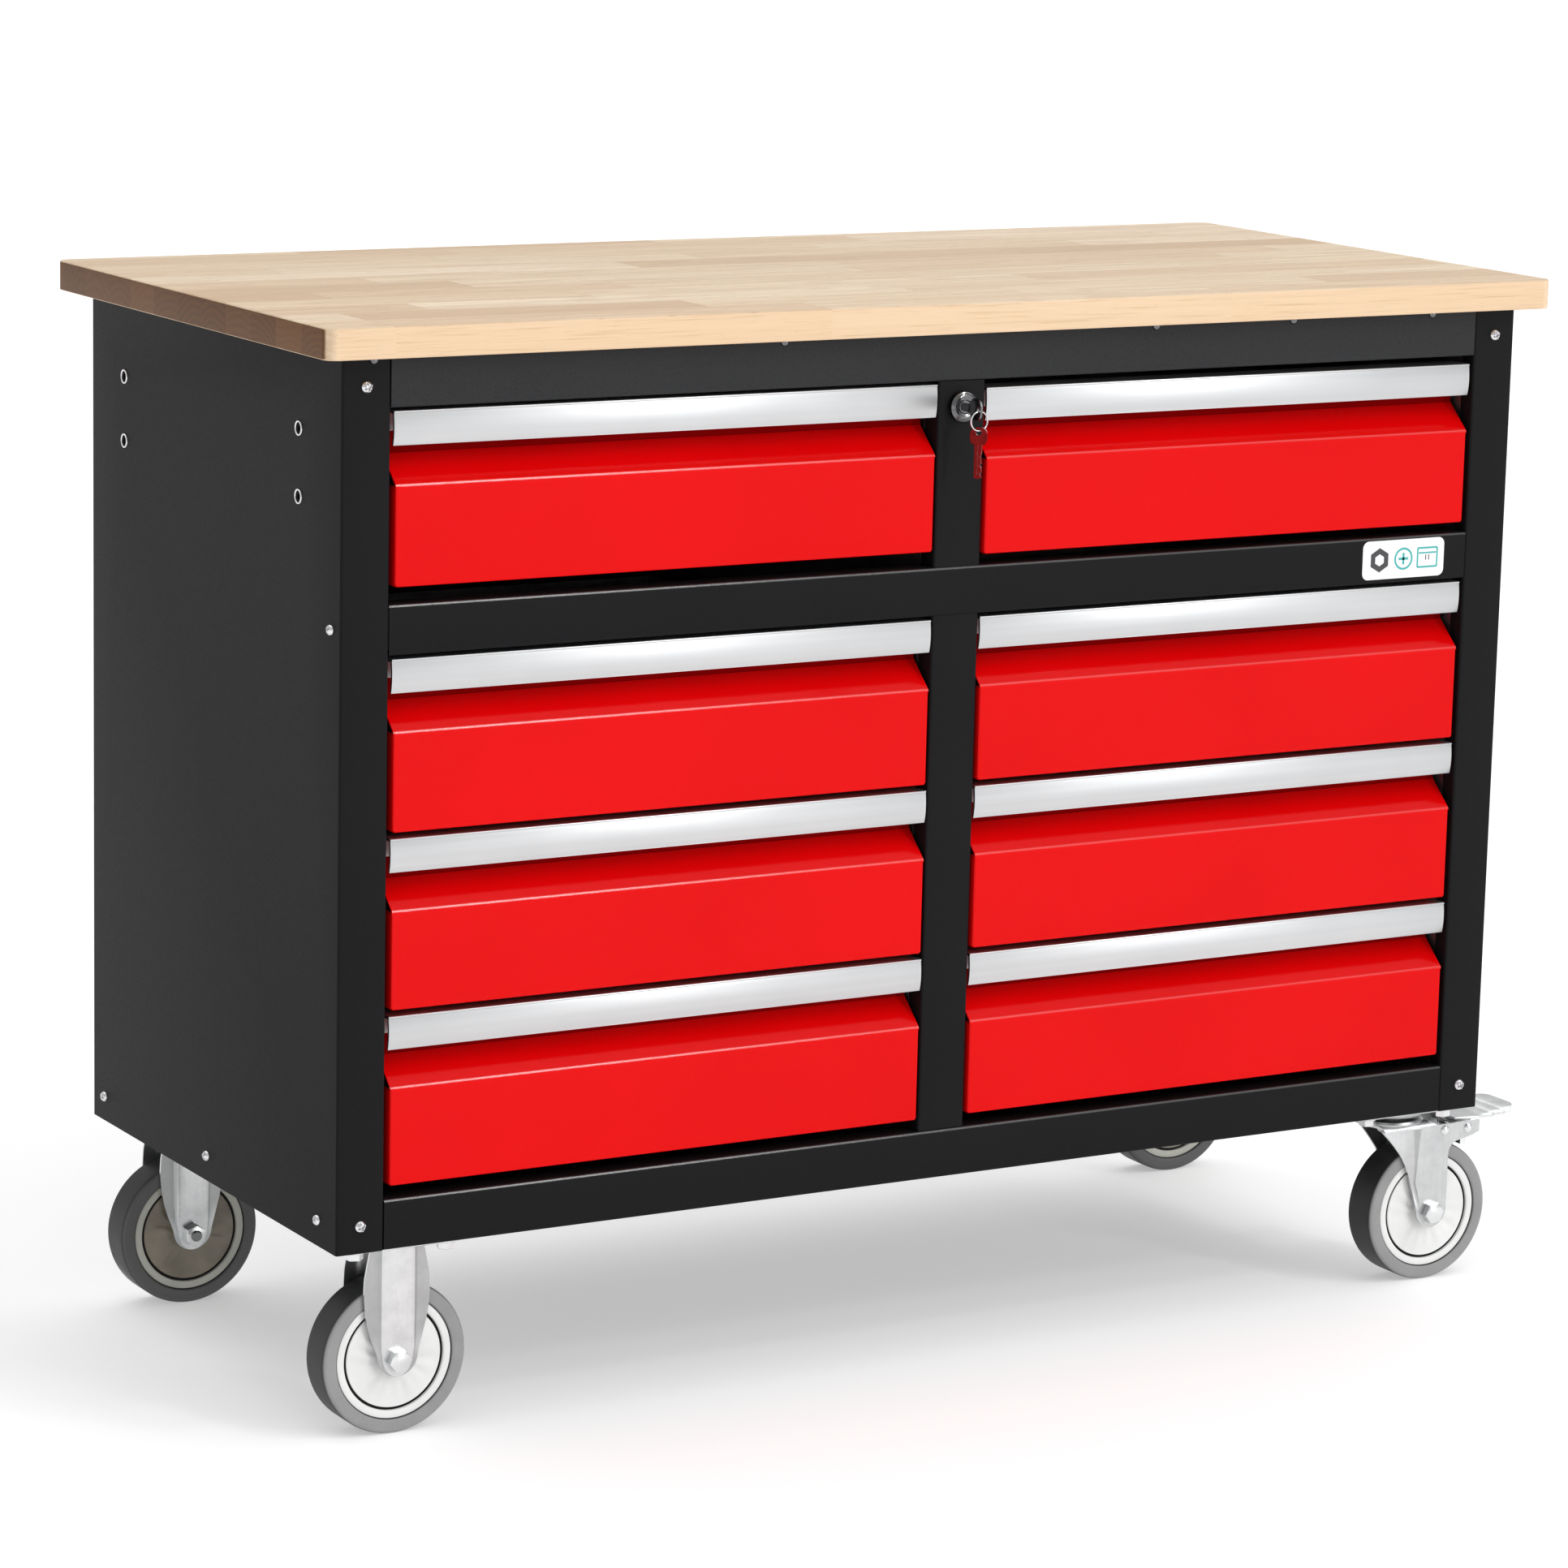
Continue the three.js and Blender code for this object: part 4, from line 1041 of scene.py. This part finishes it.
def tyre(kind, end):
    node = f"{kind}_caster_tyre_{end}"
    middle = cad_middle(node)
    shoulder = 3.6
    flank = [(50.3, WHEEL_HALF - 3.0), (50.6, WHEEL_HALF - 1.2), (51.4, WHEEL_HALF - 0.3)]
    flank += [(52.6, WHEEL_HALF), (58.0, WHEEL_HALF)]
    flank += arc(WHEEL_RADIUS - shoulder, WHEEL_HALF - shoulder, shoulder, 84, 6, 10)
    flank += [(WHEEL_RADIUS, WHEEL_HALF - 5.0)]
    made = Builder(facing(middle, (0, -1, 0)))
    made.turned(flank + [(r, -z) for r, z in reversed(flank)], 128)
    inward = 1 if end == "front" else -1
    # The side facing under the cabinet takes the darker rubber: painted shade.
    made.shade(1, lambda place: inward * (place.y - middle.y) > 5)
    made.replace(node, f"{kind}_tyre_{end}", [RUBBER, RUBBER_INNER_SHADED], angle=40)


def cover_ripple(radius, angle):
    """Faint sink marks that run out from the middle of a wheel's cover disc."""
    share = radius / 41.4
    if share > 0.99 or share < 0.36:
        return 0.0
    wave = sin(9 * angle + 2.2 * sin(2 * angle)) + 0.6 * sin(17 * angle + 1.3)
    return 0.55 * wave * sin(pi * (share - 0.36) / 0.63)


def hub(kind, end):
    """Moulded centre with a proud rim ring, a groove, a rippled cover disc and a boss, on both sides; the
    groove and the side facing under the cabinet carry painted shade.
    """
    middle = cad_middle(f"{kind}_caster_tyre_{end}")
    half = WHEEL_HALF
    face = half - 2.6
    profile = [
        (50.2, 0), (50.2, half - 2.4), (49.8, half - 1.7), (49.1, half - 1.5), (44.4, half - 1.5),
        (43.9, half - 1.8), (43.6, half - 2.6), (43.5, half - 6.5), (41.4, half - 6.5),
        (41.3, face - 0.4), (40.9, face),
    ]
    profile += [(40.9 - i * 2.6, face + 0.06 * i) for i in range(1, 11)]
    profile += [(13.6, face + 0.9), (13.0, half + 0.1), (12.2, half + 0.4), (5.4, half + 0.4), (5.4, 0)]
    joint = [(41.3, half - 6.4), (43.6, half - 6.4), (43.55, half - 3.7), (41.35, half - 3.7)]
    made = Builder()
    for side in (1, -1):
        made.at(facing(middle, (0, -1, 0)) @ Matrix.Scale(side, 4, Vector((0, 0, 1))))
        made.material = 0
        made.turned(profile, 144, cover_ripple)
        # A near-black ring down in the groove: painted shade.
        made.material = 1
        made.turned(joint, 96)
    inward = 1 if end == "front" else -1

    def inner_side(place, radius):
        from_axle = hypot(place.x - middle.x, place.z - middle.z)
        return inward * (place.y - middle.y) > 0 and from_axle < radius

    # The side facing under the cabinet takes darker plastic: painted shade.
    made.shade(2, lambda place: inner_side(place, 42))
    made.shade(3, lambda place: inner_side(place, WHEEL_RADIUS))
    plastics = [PLASTIC, SHADE_BLACK, PLASTIC_SHADED, PLASTIC_RIM_SHADED]
    made.replace(f"{kind}_caster_hub_{end}", f"{kind}_hub_{end}", plastics, angle=32)


def fork_leg(made, side):
    """Trailing leg of the swivel fork: flat outside, its inner flank rolled back, an arm on top."""
    trail = 35
    round_centre = 64.5
    round_radius = 16
    grid = []
    for z in leg_rows(round_centre - round_radius, 141, 46):
        if z < round_centre:
            half = round_end(round_radius, round_centre - z)
            left = trail - half
            right = trail + half
        else:
            left = along(FORK_LEFT, z)
            right = along(FORK_RIGHT, z)
        crease = 17 + 4 * (z - 97) / 48
        from_axle = hypot(crease - trail, z - WHEEL_RADIUS)
        depth = smooth((z - 64) / 22) * (2.2 + 3.0 * smooth((from_axle - 50) / 50))
        crease = max(crease, left + 4)
        row = []
        for share, drop in FORK_FLANK:
            row.append((crease - (crease - left) * share, side * (LEG_OUTER - depth * drop), z))
        for c in range(1, 7):
            row.append((crease + (right - crease) * c / 6, side * LEG_OUTER, z))
        grid.append(row)
    # Two columns beside the crease take the darkened zinc: painted shade.
    made.thick_grid(grid, (0, -side * FORK_SHEET, 0), (5, 6))


def fork_crown(made):
    """Pressed bridge that joins both legs over the wheel, with the swivel dish on it."""
    columns = 12
    shoulder = 7
    spring = 139.5
    flat_steps = 6
    start = -LEG_OUTER + shoulder
    path = arc(start, spring, shoulder, 180, 90, 8)
    path += [(start - start * i / flat_steps, spring + shoulder) for i in range(1, flat_steps + 1)]
    path += [(-y, z) for y, z in reversed(path[:-1])]
    grid = []
    for y, z in path:
        reach = sqrt(30**2 - y**2)
        lift = smooth((z - spring) / shoulder)
        left = -18.5 * (1 - lift) - reach * lift
        right = 40 * (1 - lift) + 29 * lift
        grid.append([(left + (right - left) * c / columns, y, z) for c in range(columns + 1)])

    def inward(point):
        flatness = smooth((point.z - spring) / shoulder)
        side = 1 if point.y < 0 else -1
        return Vector((0, side * FORK_SHEET * (1 - flatness), -FORK_SHEET * flatness))

    made.thick_grid(grid, inward)
    dish = [(6.6, 144.5), (24, 144.5), (29.2, 145.8), (30.4, 147.6), (29.4, 149.4), (26.5, 150.1)]
    made.turned(dish + [(23, 149.2), (6.6, 149.2)], 64)


def swivel_fork(end):
    matrix = upright(f"swivel_caster_plate_{end}")
    made = Builder(matrix)
    for side in (-1, 1):
        fork_leg(made, side)
    fork_crown(made)
    node = f"swivel_caster_fork_{end}"
    made.replace(node, f"swivel_fork_sheet_{end}", [ZINC, ZINC_SHADED], edge=0.5, angle=32)
    rivets = Builder()
    inside = LEG_OUTER - 1
    for x, z in ((46.2, 135.5), (71.5, 135.0)):
        rivets.at(matrix @ facing((x, -inside, z), (0, 1, 0)))
        rivets.turned([(0, 0), (3, 0), (3, 2 * inside), (0, 2 * inside)], 20)
        for side in (-1, 1):
            seat = facing((x, side * (LEG_OUTER - 0.1), z), (0, side, 0))
            dome_screw(rivets, matrix @ seat, 4.6, 2.0, False)
    rivets.piece(f"fork_rivets_{end}", BODIES[node], "zinc_plate", [ZINC_BRIGHT], angle=45)


def swivel_plate(end):
    node = f"swivel_caster_plate_{end}"
    made, bolts, _ = mounting_plate(node)
    race = [(0, 150.6), (22.5, 150.6), (24.5, 151.4), (27.5, 151.8), (31, 154), (33, 156.8), (0, 156.8)]
    made.turned(race, 64)
    pin = [(0, 135), (8.4, 135), (9, 135.8), (9, 138.2), (8, 138.9), (6.2, 138.9), (6.2, 151), (0, 151)]
    made.turned(pin, 32)
    made.replace(node, f"swivel_head_{end}", [ZINC], edge=0.3, angle=32)
    bolts.piece(f"swivel_plate_bolts_{end}", "cabinet", "zinc_plate", [ZINC_BRIGHT], edge=0.3, angle=30)


PEDAL_HALF = [(62, 15.0), (86, 19.0), (91, 21.8), (98, 24.0), (106, 26.2), (114, 27.6)]
PEDAL_RISE = [(62, 0), (86, 0), (114, 6.8), (122, 7.4), (128, 5.6)]
PEDAL_LINES = (96, 106)  # pressed lines across the tread
LOBE_START = 100  # from here the tread widens into its round outer edge


def pedal_point(x, share):
    """A point of the tread's upper face, share from -1 to 1 across it."""
    y = share * along(PEDAL_HALF, x)
    beyond = x - LOBE_START
    if beyond > 0:
        x = LOBE_START + 0.5 * beyond + 13.5 * (1 - share**2) * beyond / 28
    groove = 0.6 * sum(exp(-((x - line) ** 2) / 1.5) for line in PEDAL_LINES)
    droop = 1.5 * smooth((abs(share) - 0.86) / 0.14) * smooth((x - 86) / 10)
    return x, y, 143.6 + along(PEDAL_RISE, x) - groove - droop


def brake_pedal(end):
    """Tread plate that rises outwards, with pressed lines, ears on the pivot and the brake shoe."""
    columns = 20
    made = Builder(upright(f"swivel_caster_plate_{end}"))
    stations = [62 + 2 * i for i in range(27)] + [116 + i for i in range(1, 13)]
    grid = [[pedal_point(x, 2 * c / columns - 1) for c in range(columns + 1)] for x in stations]
    made.thick_grid(grid, (0, 0, -2.1))
    pivot_x = 71.5
    pivot_z = 135.0
    ear_top = 142.2
    ear = [(pivot_x - 7, ear_top), (pivot_x - 6.6, pivot_z)]
    ear += arc(pivot_x, pivot_z, 6.8, 185, 355, 12)
    ear += [(pivot_x + 9, ear_top)]
    for y in (-15.0, 12.8):
        made.extrude(ear, (y, y + 2.2), "y")
    made.box((70.5, -13, 118), (76.5, 13, 130.5))
    made.box((75.5, -13, 129), (79.5, 13, ear_top))
    made.replace(f"brake_pedal_{end}", f"pedal_plate_{end}", [ZINC_BRIGHT], edge=0.4, angle=32)


# ---- lock and keys


def lock():
    """Chrome housing with a stepped bezel."""
    low, high = cad("lock_housing")
    middle = (low + high) / 2
    made = Builder(facing((middle.x, low.y, middle.z), (0, 1, 0)))
    profile = [
        (5.8, 0.5), (6.4, 0.2), (9.6, 0.0), (10.4, 0.2), (11.0, 0.9), (11.9, 1.2),
        (12.5, 1.9), (12.5, 6.0), (9.0, 6.3), (9.0, 24.0), (5.8, 24.0),
    ]
    made.turned(profile, 72)
    made.replace("lock_housing", "lock_bezel", [CHROME_PAINTED_DARK], angle=30)


def key_bow(made, centre, half_x, half_z, hole_centre, hole, thickness):
    """The squarish ring of a key, in local X and Z, with small chamfers."""
    segments = 40
    outer = []
    for x, z in arc(0, 0, 1, 0, 360 - 360 / segments, segments - 1):
        square = (abs(x) ** 2.6 + abs(z) ** 2.6) ** (-1 / 2.6)
        outer.append((half_x * x * square, centre + half_z * z * square))
    inner = arc(0, hole_centre, hole, 0, 360 - 360 / segments, segments - 1)
    edge = 0.3
    face = thickness / 2
    rings = []
    for ring, y, inset in (
        (inner, -face, 0), (inner, face, 0), (outer, face, edge),
        (outer, face - edge, 0), (outer, -face + edge, 0), (outer, -face, edge),
    ):
        scale = 1 - inset / half_x
        rings.append([(x * scale, y, (z - centre) * scale + centre) for x, z in ring])
    made.rings(rings, close=True)


def key_blade(made, root, tip, half, thickness):
    """Blade from root down to its tip, with cuts along one edge and a groove rib along its middle."""
    outline = [(-half, root), (-half, tip + 1.6), (-half + 1.6, tip), (0.6, tip), (half - 0.4, tip + 1.4)]
    for i, depth in enumerate((1.5, 0.5, 1.9, 0.9, 1.6, 0.4)):
        z = tip + 2.2 + 3.6 * i
        cut = [(half - 0.3, z), (half - depth, z + 1.5), (half - depth, z + 2.1)]
        outline += [point for point in cut if point[1] < root - 2]
    outline += [(half, root)]
    face = 0.45 * thickness
    made.extrude(outline, (-face, face), "y")
    made.box((-1.3, -face - 0.12, tip + 3), (-0.5, face + 0.12, root - 1))


def standing_key():
    """The plug with its cam and the key that stands in it."""
    low, high = cad("lock_plug_and_key")
    face = cad("lock_housing")[0].y
    middle = cad_middle("lock_housing")
    bow_y = low.y + 9
    plug_end = high.y - face - 2.3
    made = Builder(facing((middle.x, face + 0.3, middle.z), (0, 1, 0)))
    made.turned([(0, 0), (4.9, 0), (5.5, 0.5), (5.5, plug_end), (0, plug_end)], 36)
    made.at(Matrix.Translation((middle.x, bow_y, middle.z)) @ rotation(90, "Z") @ rotation(-90, "Y"))
    key_bow(made, 0, 8.8, 8.8, bow_y - cad_middle("key_ring").y, 2.2, 2.0)
    made.at(Matrix.Identity(4))
    made.box((middle.x - 5, high.y - 2, low.z), (middle.x + 5, high.y, middle.z + 5))
    made.box((middle.x - 0.9, bow_y + 7.4, middle.z - 3.4), (middle.x + 0.9, face + 1.2, middle.z + 3.4))
    made.replace("lock_plug_and_key", "lock_key", [CHROME_PAINTED_DARK], edge=0.2)


def split_ring():
    """Wire wound nearly twice round."""
    middle = cad_middle("key_ring")
    radius = 7.8
    wire = 0.52
    steps = 168
    rings = []
    for i in range(steps):
        t = i / (steps - 1)
        angle = radians(100) + t * 2 * pi * 1.95
        radial = Vector((cos(angle), 0, sin(angle)))
        centre = middle + radius * radial + Vector((0, (t - 0.5) * 1.1, 0))
        section = arc(0, 0, wire, 0, 324, 9)
        rings.append([centre + 1.15 * u * radial + Vector((0, v, 0)) for u, v in section])
    made = Builder()
    made.rings(rings)
    made.replace("key_ring", "split_ring", [CHROME], angle=50)


def spare_key():
    """The key that hangs on the ring, turned a little about its own length."""
    low, high = cad("spare_key")
    turn = rotation(-44, "Z")
    hole_centre = cad("key_ring")[0].z - 0.4
    made = Builder(upright("key_ring") @ turn)
    key_bow(made, high.z - 7.6, 7.4, 7.6, hole_centre, 2.4, 1.6)
    key_blade(made, high.z - 13.5, low.z, 3.3, 1.6)
    flat = turn @ Vector((0, 1, 0))
    for face in made.bm.faces:
        face.normal_update()
        if abs(face.normal.dot(flat)) < 0.6:
            face.material_index = 1
    made.replace("spare_key", "spare_key_blank", [KEY_STEEL, CHROME], edge=0.15)


# ---- label


def label():
    """Blank sticker with plain tool pictograms: a nut, a screw head and a drawer."""
    low, high = cad("mid_rail")
    centre = Matrix.Translation((CENTRE_X + 446, low.y, (low.z + high.z) / 2 + 0.5))
    stand = centre @ rotation(90, "X")
    beside = 25  # from the middle pictogram to each of the others
    outline = rounded_rectangle(42.5, 16.6, 6, 8)
    shrunk = rounded_rectangle(42.3, 16.4, 5.8, 8)
    film = Builder(stand)
    film.stack([(outline, -0.1), (outline, 0.12), (shrunk, 0.22)])
    film.piece("label_film", "cabinet", "grey_plastic", [WHITE_FILM], angle=30)

    back = 0.1
    front = 0.26

    def ring_mark(made, outer, inner, dx=0):
        levels = [(outer, back), (outer, front), (inner, front), (inner, back)]
        made.stack([([(x + dx, y) for x, y in ring], z) for ring, z in levels], close=True)

    def bar_mark(made, x, y, half_x, half_y):
        made.box((x - half_x, y - half_y, back), (x + half_x, y + half_y, front))

    dark = Builder(stand)
    ring_mark(dark, arc(0, 0, 10.5, 30, 330, 5), arc(0, 0, 5.2, 30, 330, 5), -beside)
    for dx in (-1.6, 1.6):
        bar_mark(dark, beside + dx, 0, 0.5, 2.2)
    dark.piece("label_marks_dark", "cabinet", "grey_plastic", [GREY_FILM], angle=30)

    teal = Builder(stand)
    ring_mark(teal, arc(0, 0, 9.6, 0, 352.5, 47), arc(0, 0, 7.8, 0, 352.5, 47))
    bar_mark(teal, 0, 0, 5, 1.1)
    bar_mark(teal, 0, 0, 1.1, 5)
    ring_mark(teal, rounded_rectangle(11, 9, 1.6, 3), rounded_rectangle(9.4, 7.4, 0.8, 3), beside)
    bar_mark(teal, beside, 3.9, 9, 0.7)
    teal.piece("label_marks_teal", "cabinet", "grey_plastic", [TEAL_FILM], angle=30)


# ---- stage, light and camera


def floor():
    size = 45.0
    mesh = bpy.data.meshes.new("floor")
    corners = [(-size, -size, 0), (size, -size, 0), (size, size, 0), (-size, size, 0)]
    mesh.from_pydata(corners, [], [(0, 1, 2, 3)])
    obj = scene_object("floor", mesh)
    n = Nodes("pale_floor", Specular_IOR_Level=0.1, Roughness=0.85, Emission_Strength=0.38)
    n.feed(n.shader.inputs["Emission Color"], (1.0, 1.0, 1.0))
    n.feed(n.shader.inputs["Base Color"], n.blend(n.noise(0.8), 0.3, 0.7, (0.71,) * 3, (0.73,) * 3))
    mesh.materials.append(n.material)


def sun(name, direction, strength, angle):
    """Soft light that comes from direction."""
    data = bpy.data.lights.new(name, "SUN")
    data.energy = strength
    data.angle = radians(angle)
    scene_object(name, data).rotation_euler = Vector(direction).to_track_quat("Z", "Y").to_euler()


def light():
    world = bpy.data.worlds.new("studio")
    bpy.context.scene.world = world
    world.use_nodes = True
    background = world.node_tree.nodes["Background"]
    background.inputs["Color"].default_value = (1, 1, 1, 1)
    background.inputs["Strength"].default_value = 0.62
    # A tall narrow strip light at the front right, made of small suns on one meridian.
    across = 0.445
    rest = sqrt(1 - across**2)
    for rise in (0, 14, 28, 42, 56):
        level = radians(rise)
        sun(f"strip_light_{rise}", (across, -rest * cos(level), rest * sin(level)), 0.20, 5)
    sun("key_light", (0.50, -0.66, 0.56), 0.55, 50)
    sun("top_light", (0.15, 0.25, 1.0), 1.0, 80)
    bpy.context.scene.view_settings.view_transform = "Standard"


def camera():
    data = bpy.data.cameras.new("camera")
    data.sensor_width = CAMERA_SENSOR
    data.lens = CAMERA_LENS
    data.clip_end = 100
    obj = scene_object("camera", data)
    place = CAMERA_PLACE + Vector((CENTRE_X, CENTRE_Y, 0)) * MM
    turn = rotation(CAMERA_AZIMUTH, "Z") @ rotation(90 - CAMERA_ELEVATION, "X") @ rotation(CAMERA_ROLL, "Z")
    obj.matrix_world = Matrix.Translation(place) @ turn
    bpy.context.scene.camera = obj


# ---- everything


def cad_materials():
    """CAD nodes that stay get their material."""
    for material, nodes in (
        (BLACK, ("back_panel", "bottom_panel")),
        (GALVANISED, ("inner_panel_left", "inner_panel_right", "centre_partition")),
    ):
        for node in nodes:
            shown = frame["nodes"][node].data.materials
            shown.clear()
            shown.append(material)


camera()
light()
floor()
worktop()
for side in SIDES:
    side_panel(side)
# The top rail takes the lightened black coat: painted light.
rail("top_rail", BLACK_RAIL_LIT)
rail("mid_rail", BLACK)
rail("bottom_rail", BLACK)
centre_post()
for side in SIDES:
    for row in ROWS:
        drawer_front(f"{side}_{row}")
        drawer_handle(f"{side}_{row}")
        drawer_tray(f"{side}_{row}")
for end in ENDS:
    fixed_bracket(end)
    swivel_plate(end)
    swivel_fork(end)
    brake_pedal(end)
    for kind in ("fixed", "swivel"):
        wheel_bolt(kind, end)
        tyre(kind, end)
        hub(kind, end)
cabinet_screws()
rivet_nuts()
lock()
standing_key()
split_ring()
spare_key()
label()
cad_materials()
